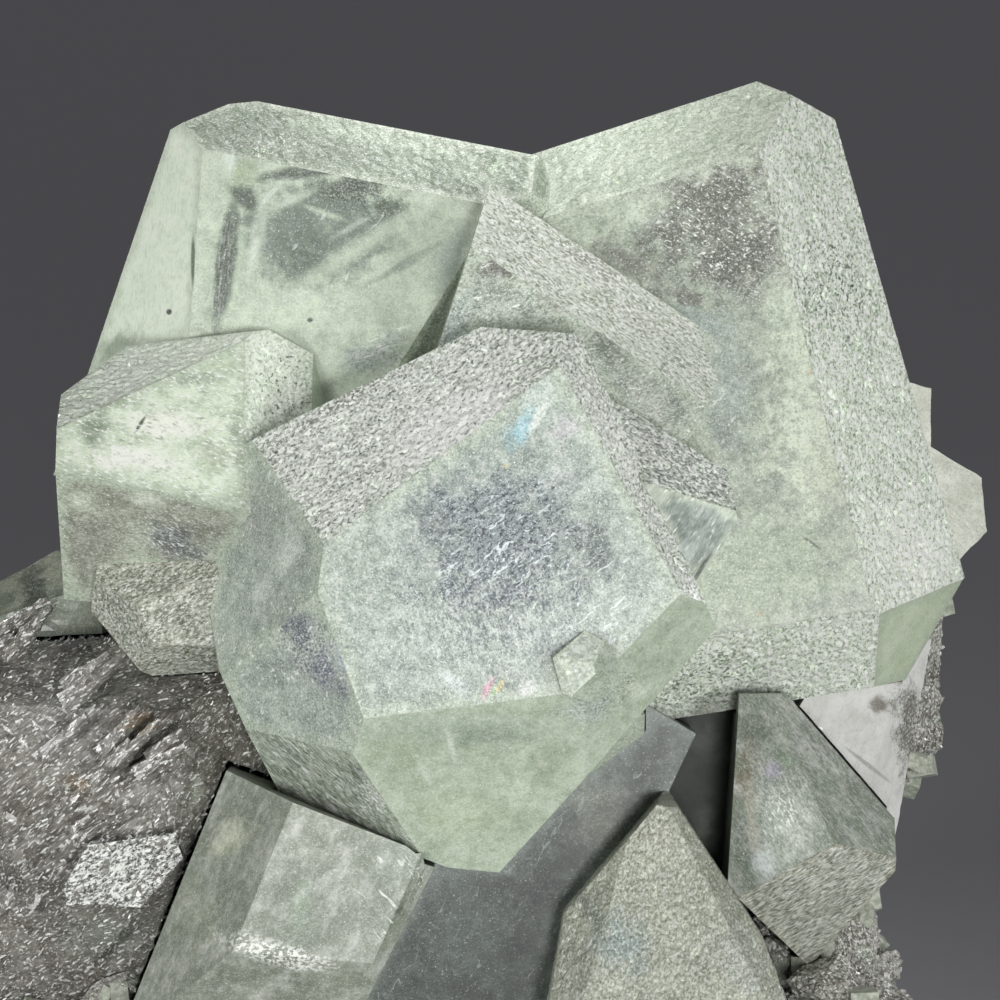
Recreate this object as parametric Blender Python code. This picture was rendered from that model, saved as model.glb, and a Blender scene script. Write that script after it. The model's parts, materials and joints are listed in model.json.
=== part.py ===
"""Fluorite specimen: intergrown pale green cubes with frosted bevels on a broken rock matrix.

Every crystal is a block cut by named planes, as a cube {100} with {110} bevels grows, and each
plane may lean a little, as it does on a natural composite crystal. The crystals share a growth
frame that leans back: x to the right, y up the specimen, z out of its front.
"""

import math
import random
from dataclasses import dataclass

import bmesh
import bpy
from mathutils import Matrix, Vector

MM = 0.001

# The growth frame and the cut that the specimen rests on
LEAN = 10.0                          # degrees that the growth frame leans back
FRAME_ORIGIN = (3.9, -4.8, 40.0)     # mm, the growth frame's origin above the base's centre
GAP = 0.3                            # mm between pieces that grew against each other
SAME_POINT = 1e-6                    # m, corners closer than this are one
ON_PLANE = 1e-7                      # m, corners closer than this lie on a cutting plane
FLUORITE_IOR = 1.434
BLOCK = 90.0                         # mm, edge of the block that a crystal is cut from
BACK_CHAMFER = 3.6                   # mm, leg of the bevels round a crystal's hidden back

GROWTH = Matrix.Translation(Vector(FRAME_ORIGIN) * MM) @ Matrix.Rotation(math.radians(90 - LEAN), 4, "X")

# The rock
ROCK_SEED = 11
ROCK_SQUARENESS = 3.0                # 2 makes the lumps ellipsoids, more makes them blocks
LUMP_CORNERS = 38                    # corners of a main lump's broken faces
CHIP_CORNERS = 18
CHIPS_PER_LUMP = 10
CHIP_RADIUS = (2.0, 4.6)             # mm
CHIP_STRETCH = (0.7, 1.2)            # of the radius, each way by itself
CHIP_SINK = 0.5                      # share of a chip's radius that it is sunk by
FLOOR_BLOCK = 30.0                   # mm, depth of the block that cuts the foot flat

# Small crystals that sit on the rock in groups, and shards on the etched dark crystal
DRUSE_GROUPS = 11
DRUSE_PER_GROUP = 5
DRUSE_SIZE = (1.8, 4.4)              # mm, smallest and largest edge
DRUSE_SPREAD = 2.3                   # mm, from a group's middle
DRUSE_SINK = 0.12                    # share of its edge that a small crystal's middle is sunk by
DRUSE_ABOVE = 6.0                    # mm, clear height above the cut
DRUSE_OVERHANG = -0.4                # lowest z of the normal of rock that carries small crystals
DRUSE_RIGHTWARD = 0.3                # largest x of that normal: the rock's right side is bare
SHARD_COUNT = 34
SHARD_LENGTH = (2.4, 5.5)            # mm
SHARD_RADIUS = 0.75                  # mm, at its thick end
SHARD_TIP = 0.25                     # share of that radius at the tip
SHARD_SIDES = 5
SHARD_SINK = 0.25                    # mm, of its axis below the crystal's face
ETCH_HEADING = 38.0                  # degrees, the way the etching runs
ETCH_RISE = 0.25                     # share of the etch direction that points out of the front
ETCH_REACH = (-8.0, 7.5)             # mm, where shards lie along the etching
ETCH_WIDTH = (-6.5, 9.0)             # mm, and across it
SHARD_LIFT = (0.05, 0.35)            # how far a shard's tip lifts off the face
SHARD_FAN = 0.15                     # how far shards fan out


@dataclass
class Crystal:
    """One crystal in the growth frame, in millimetres and degrees.

    front and back are reaches from `at` along z. Each side is (heading, reach): a plane square to
    the front, whose normal points to the heading, counted anticlockwise from the right. Each slope
    is (heading, tilt, reach), tilted away from the front's normal.
    """

    at: tuple
    front: float
    back: float
    sides: tuple
    slopes: tuple = ()
    chamfer: float = BACK_CHAMFER


# Upper cluster: the large pale green cubes and what grew between them
UPPER = {
    "right_cube": Crystal(
        at=(8.0, 3.4, -8.0), front=12.0, back=16.0,
        sides=((16, 15.1), (65, 20.6), (108, 16.9), (196, 12.4), (-81, 15.6), (-29, 19.4)),
        slopes=((14, 45, 15.4), (107, 45, 17.8), (196, 45, 15.2), (-81, 45, 16.4), (-35, 60, 19.7)),
    ),
    "left_cube": Crystal(
        at=(-9.6, 11.3, -4.0), front=10.0, back=14.0,
        sides=((79, 9.7), (97, 11.0), (115, 11.7), (160, 11.0), (-100, 12.4), (-20, 10.3), (15, 13.5)),
        slopes=((79, 45, 11.6), (176, 45, 12.1), (-32, 45, 11.0), (21, 65, 15.1)),
    ),
    "middle_cube": Crystal(
        at=(3.3, 6.7, 0.0), front=11.0, back=10.0,
        sides=((56, 6.4), (18, 7.9), (-27, 7.6), (-124, 10.8)),
        slopes=((56, 45, 9.9), (162, 88, 7.1)),
    ),
    "front_cube": Crystal(
        at=(-3.8, -5.9, 8.0), front=10.0, back=14.0,
        sides=((116, 12.3), (190, 11.6), (205, 11.5), (248, 12.3), (264, 13.5), (-41, 12.0),
               (25, 13.4), (85, 15.2)),
        slopes=((127, 45, 11.4), (172, 55, 10.5), (200, 45, 10.6), (232, 62, 11.4), (277, 35, 11.1),
                (-44, 45, 13.3), (28, 55, 15.7)),
    ),
    "left_small_cube": Crystal(
        at=(-18.6, 2.2, 0.0), front=12.5, back=10.0,
        sides=((180, 5.1), (129, 5.9), (-95, 8.0), (62, 9.0), (96, 6.3), (-2, 9.6)),
        slopes=((80, 22, 10.5), (-102, 40, 10.2), (108, 60, 8.2), (30, 39, 11.2), (11, 64, 11.1)),
    ),
    "left_lobe": Crystal(
        at=(-17.6, -6.1, 3.0), front=9.0, back=7.0,
        sides=((-86, 3.3), (-112, 3.6), (-140, 3.4), (-35, 4.4), (5, 4.3), (170, 4.5), (90, 2.8)),
        slopes=((-60, 12, 6.7), (110, 35, 6.4), (-88, 55, 5.1), (-150, 50, 5.6)),
        chamfer=1.2,
    ),
    "right_small_cube": Crystal(
        at=(9.1, -0.3, 8.0), front=9.5, back=8.0,
        sides=((58, 3.1), (10, 3.2), (-34, 3.3), (135, 6.1), (186, 3.4), (214, 3.2), (-110, 5.5)),
        slopes=((-30, 10, 8.2), (63, 45, 6.4), (190, 38, 7.7)),
        chamfer=1.2,
    ),
    "upper_bud": Crystal(
        at=(8.1, -7.2, 9.0), front=4.6, back=4.0,
        sides=((80, 1.8), (140, 1.7), (200, 1.8), (-100, 2.0), (-40, 1.5), (20, 1.6)),
        slopes=((20, 12, 4.4), (80, 45, 3.8), (200, 45, 3.8), (-60, 45, 3.7), (20, 50, 3.3)),
        chamfer=0.4,
    ),
    "white_bud": Crystal(
        at=(4.6, -8.8, 15.0), front=4.6, back=5.0,
        sides=((60, 1.6), (130, 1.6), (195, 1.6), (-110, 1.6), (-50, 1.6), (5, 1.5)),
        slopes=((200, 14, 4.4), (95, 40, 3.7), (200, 40, 4.0), (-60, 45, 3.5), (10, 50, 3.2)),
        chamfer=0.4,
    ),
    "lower_bud": Crystal(
        at=(5.7, -12.0, 9.0), front=3.6, back=6.0,
        sides=((50, 1.7), (200, 1.8), (-53, 1.6), (0, 2.0), (-100, 2.6)),
        slopes=((-40, 15, 3.3), (60, 50, 2.9), (-53, 50, 2.4)),
        chamfer=0.4,
    ),
}

# Lower left: the grey-brown etched crystal with a bright frosted crystal grown into it
DARK = {
    "etched_block": Crystal(
        at=(-22.7, -18.1, -6.0), front=13.0, back=14.0,
        sides=((93, 10.2), (140, 11.6), (185, 12.2), (-95, 18.1), (-20, 11.5)),
        slopes=((125, 20, 10.7), (-105, 38, 11.1), (97, 55, 10.8), (20, 25, 12.4), (190, 50, 10.1)),
        chamfer=2.5,
    ),
    "frosted_hexagon": Crystal(
        at=(-20.7, -21.0, 2.0), front=6.4, back=6.0,
        sides=((97, 2.5), (150, 2.5), (197, 2.7), (-40, 1.6), (20, 3.8), (-92, 4.3)),
        slopes=((20, 14, 6.0), (-88, 55, 4.3)),
        chamfer=0.5,
    ),
}

# Lower row: the translucent blocks under the front cube and to its right
LOWER = {
    "grey_block": Crystal(
        at=(-9.3, -21.9, 4.0), front=9.0, back=10.0,
        sides=((69, 4.8), (-27, 4.1), (158, 7.8), (-95, 15.7)),
        slopes=((-24, 50, 8.4), (158, 52, 8.5), (-95, 40, 8.5)),
        chamfer=1.5,
    ),
    "slate_green_block": Crystal(
        at=(1.1, -22.5, -4.0), front=9.5, back=12.0,
        sides=((60, 13.2), (180, 10.6), (-25, 4.6), (-90, 11.5)),
        slopes=((-60, 8, 7.8),),
        chamfer=1.5,
    ),
    "sandy_block": Crystal(
        at=(9.4, -23.7, 2.0), front=8.5, back=12.0,
        sides=((33, 4.0), (20, 4.5), (140, 5.3), (170, 6.0), (-90, 10.5)),
        slopes=((100, 10, 7.0), (35, 50, 6.7), (155, 45, 7.5), (80, 80, 7.8)),
        chamfer=1.5,
    ),
    "clear_block": Crystal(
        at=(16.8, -18.0, -3.0), front=9.5, back=11.0,
        sides=((176, 4.1), (225, 5.3), (41, 4.0), (0, 4.9), (-39, 5.3), (-90, 14.0), (90, 7.3)),
        slopes=((150, 20, 7.8), (41, 45, 6.7), (-70, 45, 7.1)),
        chamfer=1.5,
    ),
}

# Behind: the crystals that show past the edges of the front ones
BACK_LEFT = {
    "back_left_block": Crystal(
        at=(-29.1, -8.1, -14.0), front=7.0, back=10.0,
        sides=((119, 2.8), (60, 6.3), (180, 6.7), (0, 6.5), (-90, 9.5)),
        slopes=((150, 18, 5.6), (119, 50, 4.5)),
        chamfer=2.0,
    ),
    "back_left_step": Crystal(
        at=(-31.5, -13.5, -17.0), front=8.0, back=7.0,
        sides=((105, 5.0), (188, 4.0), (20, 6.0), (-90, 6.0)),
        slopes=((165, 35, 6.2), (60, 30, 7.0)),
        chamfer=1.5,
    ),
}
PALE = {
    "pale_block": Crystal(
        at=(20.2, -15.0, -12.0), front=6.6, back=8.0,
        sides=((150, 4.4), (-11, 3.1), (-110, 4.2), (90, 7.0)),
        slopes=((60, 15, 5.8), (-5, 50, 4.6)),
        chamfer=1.5,
    ),
}
WHITE = {
    "white_block": Crystal(
        at=(26.2, 0.9, -21.0), front=5.2, back=7.0,
        sides=((60, 1.4), (5, 2.1), (-45, 3.6), (150, 2.6), (-130, 5.5)),
        slopes=((20, 20, 4.5),),
        chamfer=0.8,
    ),
    "white_step": Crystal(
        at=(24.2, 4.6, -22.0), front=4.6, back=5.0,
        sides=((75, 2.2), (0, 1.2), (-60, 3.2), (170, 2.4)),
        slopes=((-20, 20, 3.7),),
        chamfer=0.6,
    ),
}

# The rock's main lumps in the growth frame, in millimetres: (centre, half sizes)
ROCK_LUMPS = (
    ((-4.0, -18.0, -25.0), (26.0, 20.0, 9.5)),      # wall behind the crystals
    ((16.5, -5.0, -27.0), (9.5, 12.0, 6.5)),        # shoulder that carries the white crystals
    ((19.7, -12.0, -18.0), (3.2, 7.0, 8.0)),        # right edge, upper part
    ((16.8, -26.0, -12.0), (5.2, 9.5, 9.0)),        # right edge, under the clear block
    ((18.7, -31.0, -3.0), (4.0, 5.0, 7.0)),         # right edge, near the foot
    ((-4.0, -37.0, -8.0), (27.0, 10.0, 21.0)),      # foot under the whole specimen
    ((8.0, -38.0, 2.0), (16.0, 9.0, 15.0)),         # foot under the front row
    ((-23.0, -35.0, -8.0), (13.0, 10.0, 16.0)),     # foot under the dark crystal
)

MATERIALS = {
    # name: (colour, roughness, transmission)
    "pale_green_fluorite": ((0.62, 0.74, 0.58), 0.25, 0.8),
    "smoky_fluorite": ((0.20, 0.19, 0.18), 0.45, 0.4),
    "grey_green_fluorite": ((0.42, 0.46, 0.42), 0.35, 0.6),
    "white_fluorite": ((0.72, 0.71, 0.69), 0.5, 0.4),
    "rock_matrix": ((0.58, 0.56, 0.53), 0.85, 0.0),
}


def remove_everything():
    for obj in list(bpy.data.objects):
        bpy.data.objects.remove(obj, do_unlink=True)


def make_collection(name):
    collection = bpy.data.collections.new(name)
    bpy.context.scene.collection.children.link(collection)
    return collection


def make_material(name):
    colour, roughness, transmission = MATERIALS[name]
    material = bpy.data.materials.new(name)
    material.use_nodes = True
    shader = material.node_tree.nodes["Principled BSDF"]
    shader.inputs["Base Color"].default_value = (*colour, 1.0)
    shader.inputs["Roughness"].default_value = roughness
    shader.inputs["Metallic"].default_value = 0.0
    shader.inputs["Transmission Weight"].default_value = transmission
    shader.inputs["IOR"].default_value = FLUORITE_IOR
    return material


def add_object(name, mesh, collection, material=None):
    obj = bpy.data.objects.new(name, mesh)
    collection.objects.link(obj)
    if material:
        mesh.materials.clear()
        mesh.materials.append(material)
    return obj


def add_cutter(name, mesh, collection):
    cutter = add_object(name, mesh, collection)
    cutter.hide_render = True
    cutter.display_type = "WIRE"
    return cutter


def facing(heading, tilt):
    """Unit normal that is tilted away from z, towards the heading."""
    around, away = math.radians(heading), math.radians(tilt)
    return Vector((math.sin(away) * math.cos(around), math.sin(away) * math.sin(around), math.cos(away)))


def crystal_planes(crystal):
    """(normal, reach) of every face, with the bevels round the hidden back."""
    planes = [(facing(0, 0), crystal.front), (facing(0, 180), crystal.back)]
    for heading, reach in crystal.sides:
        planes.append((facing(heading, 90), reach))
        bevel_reach = (reach + crystal.back - crystal.chamfer) / math.sqrt(2)
        planes.append((facing(heading, 135), bevel_reach))
    for heading, tilt, reach in crystal.slopes:
        planes.append((facing(heading, tilt), reach))
    return planes


def crystal_mesh(name, crystal, grown=0.0):
    """A block cut by the crystal's planes, each moved out by `grown` millimetres."""
    bm = bmesh.new()
    bmesh.ops.create_cube(bm, size=BLOCK * MM)
    for normal, reach in crystal_planes(crystal):
        cut = bmesh.ops.bisect_plane(
            bm, geom=bm.verts[:] + bm.edges[:] + bm.faces[:], dist=ON_PLANE,
            plane_co=normal * (reach + grown) * MM, plane_no=normal, clear_outer=True)
        rim = [item for item in cut["geom_cut"] if isinstance(item, bmesh.types.BMEdge)]
        bmesh.ops.holes_fill(bm, edges=rim)
    bmesh.ops.remove_doubles(bm, verts=bm.verts[:], dist=SAME_POINT)
    bmesh.ops.recalc_face_normals(bm, faces=bm.faces[:])
    bm.transform(GROWTH @ Matrix.Translation(Vector(crystal.at) * MM))
    mesh = bpy.data.meshes.new(name)
    bm.to_mesh(mesh)
    bm.free()
    return mesh


def add_boolean(obj, operation, operand):
    """Join to or cut from obj one object, or every object of a collection."""
    modifier = obj.modifiers.new(operation.lower() + "_" + operand.name, "BOOLEAN")
    modifier.operation = operation
    modifier.solver = "EXACT"
    if isinstance(operand, bpy.types.Collection):
        modifier.operand_type = "COLLECTION"
        modifier.collection = operand
    else:
        modifier.object = operand


def evaluated_mesh(obj):
    depsgraph = bpy.context.evaluated_depsgraph_get()
    return bpy.data.meshes.new_from_object(obj.evaluated_get(depsgraph))


def bake_largest_body(obj):
    """Replace obj's mesh by its evaluated one, and drop the chips that a cut left loose."""
    mesh = evaluated_mesh(obj)
    bm = bmesh.new()
    bm.from_mesh(mesh)
    bmesh.ops.remove_doubles(bm, verts=bm.verts[:], dist=SAME_POINT)
    unseen = set(bm.faces)
    bodies = []
    while unseen:
        front = [unseen.pop()]
        body = set(front)
        while front:
            face = front.pop()
            for edge in face.edges:
                for neighbour in edge.link_faces:
                    if neighbour in unseen:
                        unseen.discard(neighbour)
                        body.add(neighbour)
                        front.append(neighbour)
        bodies.append(body)
    largest = max(bodies, key=lambda body: sum(face.calc_area() for face in body))
    chips = [face for body in bodies if body is not largest for face in body]
    bmesh.ops.delete(bm, geom=chips, context="FACES")
    loose = [vert for vert in bm.verts if not vert.link_faces]
    bmesh.ops.delete(bm, geom=loose, context="VERTS")
    bm.to_mesh(mesh)
    bm.free()
    obj.modifiers.clear()
    old = obj.data
    obj.data = mesh
    bpy.data.meshes.remove(old)


def grow_cluster(name, crystals, parts, cutters, material):
    """One object: the first crystal, with the others joined to it."""
    first = next(iter(crystals))
    cluster = add_object(name, crystal_mesh(first, crystals[first]), parts, material)
    for key, crystal in crystals.items():
        if key != first:
            neighbour = add_cutter(key, crystal_mesh(key, crystal), cutters)
            add_boolean(cluster, "UNION", neighbour)
    return cluster


def grown_cutters(crystals, collection):
    """Copies of the crystals that are larger by the gap, for cutting what lies against them."""
    for key, crystal in crystals.items():
        add_cutter("room_for_" + key, crystal_mesh("room_for_" + key, crystal, GAP), collection)


def shard_mesh(rng, name):
    """One etched shard on the dark crystal: a thin pyramid that lies along the etch direction."""
    length = rng.uniform(*SHARD_LENGTH)
    bm = bmesh.new()
    bmesh.ops.create_cone(
        bm, cap_ends=True, segments=SHARD_SIDES, depth=length * MM,
        radius1=SHARD_RADIUS * MM, radius2=SHARD_RADIUS * SHARD_TIP * MM)
    block = DARK["etched_block"]
    heading, tilt, reach = block.slopes[0]
    normal = facing(heading, tilt)
    along = (facing(ETCH_HEADING, 90) + Vector((0, 0, ETCH_RISE))).normalized()
    across = normal.cross(along).normalized()
    spot = normal * (reach - SHARD_SINK)
    spot += along * rng.uniform(*ETCH_REACH) + across * rng.uniform(*ETCH_WIDTH)
    fan = across * rng.uniform(-SHARD_FAN, SHARD_FAN)
    turn = (along + normal * rng.uniform(*SHARD_LIFT) + fan).normalized()
    turned = turn.to_track_quat("Z", "X").to_matrix().to_4x4()
    bm.transform(Matrix.Translation((Vector(block.at) + spot) * MM) @ turned)
    bm.transform(GROWTH)
    mesh = bpy.data.meshes.new(name)
    bm.to_mesh(mesh)
    bm.free()
    return mesh


def add_shards(dark, cutters):
    rng = random.Random(ROCK_SEED)
    for index in range(SHARD_COUNT):
        name = "shard_%02d" % index
        shard = add_cutter(name, shard_mesh(rng, name), cutters)
        add_boolean(dark, "UNION", shard)


def on_lump(rng, centre, radii):
    """A point on a lump that is squarer than an ellipsoid, and the way out there, in millimetres."""
    way = Vector([rng.gauss(0, 1) for _ in range(3)]).normalized()
    spot = way / sum(abs(part) ** ROCK_SQUARENESS for part in way) ** (1 / ROCK_SQUARENESS)
    point = Vector(centre) + Vector([part * radius for part, radius in zip(spot, radii)])
    normal = Vector([part / radius for part, radius in zip(way, radii)]).normalized()
    return point, normal


def chunk_mesh(rng, name, centre, radii, corners):
    """A piece of broken rock: the flat faces between corners strewn on a lump."""
    bm = bmesh.new()
    for _ in range(corners):
        point, _normal = on_lump(rng, centre, radii)
        bmesh.ops.create_vert(bm, co=point * MM)
    hull = bmesh.ops.convex_hull(bm, input=bm.verts[:])
    unused = [item for item in hull["geom_interior"] if isinstance(item, bmesh.types.BMVert)]
    bmesh.ops.delete(bm, geom=unused, context="VERTS")
    bmesh.ops.recalc_face_normals(bm, faces=bm.faces[:])
    bm.transform(GROWTH)
    mesh = bpy.data.meshes.new(name)
    bm.to_mesh(mesh)
    bm.free()
    return mesh


def add_chunks(rock, rng, chunks):
    """Join the main lumps and the chips on them to the rock."""
    for index, (centre, radii) in enumerate(ROCK_LUMPS):
        name = "lump_%d" % index
        if index:
            add_cutter(name, chunk_mesh(rng, name, centre, radii, LUMP_CORNERS), chunks)
        for chip_index in range(CHIPS_PER_LUMP):
            radius = rng.uniform(*CHIP_RADIUS)
            point, normal = on_lump(rng, centre, radii)
            chip_radii = [radius * rng.uniform(*CHIP_STRETCH) for _ in range(3)]
            chip_name = "chip_%d_%02d" % (index, chip_index)
            chip = chunk_mesh(rng, chip_name, point - normal * radius * CHIP_SINK, chip_radii, CHIP_CORNERS)
            add_cutter(chip_name, chip, chunks)
    add_boolean(rock, "UNION", chunks)


def floor_block(collection):
    """What lies under the cut that the specimen rests on."""
    bm = bmesh.new()
    bmesh.ops.create_cube(bm, size=1.0)
    size = Matrix.Diagonal((2 * BLOCK * MM, 2 * BLOCK * MM, FLOOR_BLOCK * MM, 1.0))
    bm.transform(Matrix.Translation((0, 0, -FLOOR_BLOCK * MM / 2)) @ size)
    mesh = bpy.data.meshes.new("floor_block")
    bm.to_mesh(mesh)
    bm.free()
    return add_cutter("floor_block", mesh, collection)


def druse_spots(rock, rng):
    """Places on the rock that carry small crystals, (point, normal): not on its base."""
    faces = [face for face in rock.polygons if face.center.z > DRUSE_ABOVE * MM
             and face.normal.z > DRUSE_OVERHANG and face.normal.x < DRUSE_RIGHTWARD]
    spots = []
    for face in rng.choices(faces, weights=[face.area for face in faces], k=DRUSE_GROUPS):
        for _ in range(DRUSE_PER_GROUP):
            aside = Vector([rng.uniform(-1, 1) for _ in range(3)]) * DRUSE_SPREAD * MM
            aside -= face.normal * aside.dot(face.normal)
            spots.append((face.center + aside, face.normal.copy()))
    return spots


def druse_mesh(rng, name, spot):
    """One small cube, more than half sunk in the rock."""
    point, normal = spot
    edge = rng.uniform(*DRUSE_SIZE) * MM
    bm = bmesh.new()
    bmesh.ops.create_cube(bm, size=edge)
    axis = Vector([rng.uniform(-1, 1) for _ in range(3)]).normalized()
    turn = Matrix.Rotation(rng.uniform(0, math.tau), 4, axis)
    bm.transform(Matrix.Translation(point - normal * edge * DRUSE_SINK) @ turn)
    mesh = bpy.data.meshes.new(name)
    bm.to_mesh(mesh)
    bm.free()
    return mesh


def build():
    remove_everything()
    parts = make_collection("fluorite_specimen")
    cutters = make_collection("cutters")
    materials = {name: make_material(name) for name in MATERIALS}

    upper = grow_cluster("upper_crystals", UPPER, parts, cutters, materials["pale_green_fluorite"])
    bake_largest_body(upper)
    room = make_collection("room_for_neighbours")
    grown_cutters(UPPER, room)

    lower = grow_cluster("lower_crystals", LOWER, parts, cutters, materials["grey_green_fluorite"])
    add_boolean(lower, "DIFFERENCE", room)
    bake_largest_body(lower)
    grown_cutters(LOWER, room)

    dark = grow_cluster("dark_crystal", DARK, parts, cutters, materials["smoky_fluorite"])
    add_shards(dark, cutters)
    add_boolean(dark, "DIFFERENCE", room)
    bake_largest_body(dark)
    grown_cutters(DARK, room)

    later = (
        ("back_left_crystals", BACK_LEFT, "grey_green_fluorite"),
        ("pale_crystal", PALE, "white_fluorite"),
        ("white_crystals", WHITE, "white_fluorite"),
    )
    for name, crystals, finish in later:
        cluster = grow_cluster(name, crystals, parts, cutters, materials[finish])
        add_boolean(cluster, "DIFFERENCE", room)
        bake_largest_body(cluster)
        grown_cutters(crystals, room)

    rng = random.Random(ROCK_SEED)
    centre, radii = ROCK_LUMPS[0]
    wall = chunk_mesh(rng, "matrix", centre, radii, LUMP_CORNERS)
    matrix = add_object("matrix", wall, parts, materials["rock_matrix"])
    add_chunks(matrix, rng, make_collection("chunks"))
    add_boolean(matrix, "DIFFERENCE", floor_block(cutters))
    bake_largest_body(matrix)
    druse = make_collection("druse")
    for index, spot in enumerate(druse_spots(matrix.data, rng)):
        name = "druse_%02d" % index
        add_cutter(name, druse_mesh(rng, name, spot), druse)
    add_boolean(matrix, "UNION", druse)
    add_boolean(matrix, "DIFFERENCE", room)
    bake_largest_body(matrix)

    for obj in list(bpy.data.objects):
        if obj.name not in parts.objects:
            bpy.data.objects.remove(obj, do_unlink=True)


build()
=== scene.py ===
# %% [markdown]
# # A fluorite specimen
# Pale green cubes of fluorite have grown into each other on a rock. Their square faces are glassy,
# and a second growth has frosted the bevels between them with sugary grains. The inside of the
# clear crystals holds veils, growth bands and needles, and the whole group sits on a rock that is
# sawn flat underneath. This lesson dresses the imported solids: each crystal keeps its measured
# faces, and gets clear glass, frosting, inner veils and small growth on top.

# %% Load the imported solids
import json
import math
import random
from dataclasses import dataclass

import bmesh
import bpy
import numpy as np
from mathutils import Matrix, Vector, noise
from mathutils.geometry import delaunay_2d_cdt

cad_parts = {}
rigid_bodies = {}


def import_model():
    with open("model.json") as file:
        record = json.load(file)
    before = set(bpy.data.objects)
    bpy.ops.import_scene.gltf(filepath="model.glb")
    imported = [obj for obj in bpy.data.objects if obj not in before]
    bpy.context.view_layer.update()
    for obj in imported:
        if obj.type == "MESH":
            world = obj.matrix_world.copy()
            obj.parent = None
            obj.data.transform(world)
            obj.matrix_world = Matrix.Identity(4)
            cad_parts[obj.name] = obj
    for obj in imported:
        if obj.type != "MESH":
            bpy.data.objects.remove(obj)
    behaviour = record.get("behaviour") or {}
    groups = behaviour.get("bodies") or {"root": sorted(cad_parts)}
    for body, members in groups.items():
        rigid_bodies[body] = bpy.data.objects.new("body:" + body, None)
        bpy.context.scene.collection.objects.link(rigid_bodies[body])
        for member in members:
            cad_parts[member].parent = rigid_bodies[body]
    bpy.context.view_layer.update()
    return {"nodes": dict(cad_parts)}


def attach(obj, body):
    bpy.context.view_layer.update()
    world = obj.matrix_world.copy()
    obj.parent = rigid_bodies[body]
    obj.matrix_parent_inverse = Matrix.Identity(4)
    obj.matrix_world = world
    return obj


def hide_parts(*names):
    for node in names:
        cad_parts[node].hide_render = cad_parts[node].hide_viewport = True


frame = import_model()
print("solids:", ", ".join(sorted(frame["nodes"])))

# %% [markdown]
# ## The growth frame
# All the crystals of the specimen lean back by ten degrees, because the rock was sawn a little
# askew. Their faces are easiest to describe in a frame that leans with them: x to the right, y up
# the specimen, z out of its front, in millimetres. `grown` turns such a place into one of the
# scene. `seen` is for a detail that is read off the photograph: its column and row in the picture
# and how far forward it lies give its place in the growth frame.

# %% Places in the growth frame
MM = 0.001
LEAN = math.radians(10)
GROWTH_ORIGIN = Vector((3.9, -4.8, 40.0)) * MM
GROWTH = Matrix.Translation(GROWTH_ORIGIN) @ Matrix.Rotation(math.pi / 2 - LEAN, 4, "X")
TO_GROWTH = GROWTH.inverted()
PICTURE = 1000                       # pixels along the photograph's side
PIXELS_PER_MM = 18.0                 # where the growth frame's origin lies
VIEW_DISTANCE = 300.0                # mm from the camera to that origin


def grown(place):
    """A place of the growth frame, in millimetres, as a place of the scene in metres."""
    return GROWTH @ (Vector(place) * MM)


def pixel_size(toward):
    """How many millimetres a pixel of the photograph spans at a depth of the growth frame."""
    return (VIEW_DISTANCE - toward) / VIEW_DISTANCE / PIXELS_PER_MM


def seen(column, row, toward):
    """The place in the growth frame, in millimetres, of what the photograph shows at a pixel."""
    scale = pixel_size(toward)
    return Vector(((column - PICTURE / 2) * scale, (PICTURE / 2 - row) * scale, toward))


def facing(heading, tilt):
    """Unit normal in the growth frame, tilted away from z towards the heading, in degrees."""
    around, away = math.radians(heading), math.radians(tilt)
    return Vector((math.sin(away) * math.cos(around), math.sin(away) * math.sin(around), math.cos(away)))


# %% [markdown]
# ## Camera
# The photograph was taken from ten degrees above the table with a long lens, so the camera looks
# straight down the growth frame's z axis, and its axes are the growth frame's own.

# %% Camera
SENSOR = 36.0                        # mm


def linked(name, data):
    """A new object in the scene."""
    obj = bpy.data.objects.new(name, data)
    bpy.context.scene.collection.objects.link(obj)
    return obj


camera_data = bpy.data.cameras.new("camera")
camera_data.sensor_width = SENSOR
camera_data.lens = SENSOR * VIEW_DISTANCE * PIXELS_PER_MM / PICTURE
camera_data.clip_start = 0.01
camera = linked("camera", camera_data)
camera.matrix_world = GROWTH @ Matrix.Translation((0, 0, VIEW_DISTANCE * MM))
bpy.context.scene.camera = camera
print("lens", round(camera_data.lens, 1), "mm")

# %% [markdown]
# ## Floor, lights and background
# The specimen stands on a plain pale floor. The softboxes stand low and near, so that the crystals
# are bright and the floor behind them falls off into grey, as it does in a product photograph of a
# mineral. A dim grey world fills the shadows and gives the clear crystals something plain to bend.

# %% Floor and world
FLOOR_SIZE = 8.0                     # m
FLOOR_COLOUR = (0.62, 0.62, 0.64)
WORLD_COLOUR = (0.098, 0.098, 0.104)


def new_material(name):
    """A material, its node tree and its shader."""
    material = bpy.data.materials.new(name)
    material.use_nodes = True
    return material, material.node_tree, material.node_tree.nodes["Principled BSDF"]


def plain_material(name, colour, roughness):
    material, _tree, shader = new_material(name)
    shader.inputs["Base Color"].default_value = (*colour, 1)
    shader.inputs["Roughness"].default_value = roughness
    return material


floor_mesh = bpy.data.meshes.new("floor")
half = FLOOR_SIZE / 2
floor_corners = [(-half, -half, 0), (half, -half, 0), (half, half, 0), (-half, half, 0)]
floor_mesh.from_pydata(floor_corners, [], [(0, 1, 2, 3)])
floor_mesh.materials.append(plain_material("floor", FLOOR_COLOUR, 0.8))
floor = linked("floor", floor_mesh)

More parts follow.
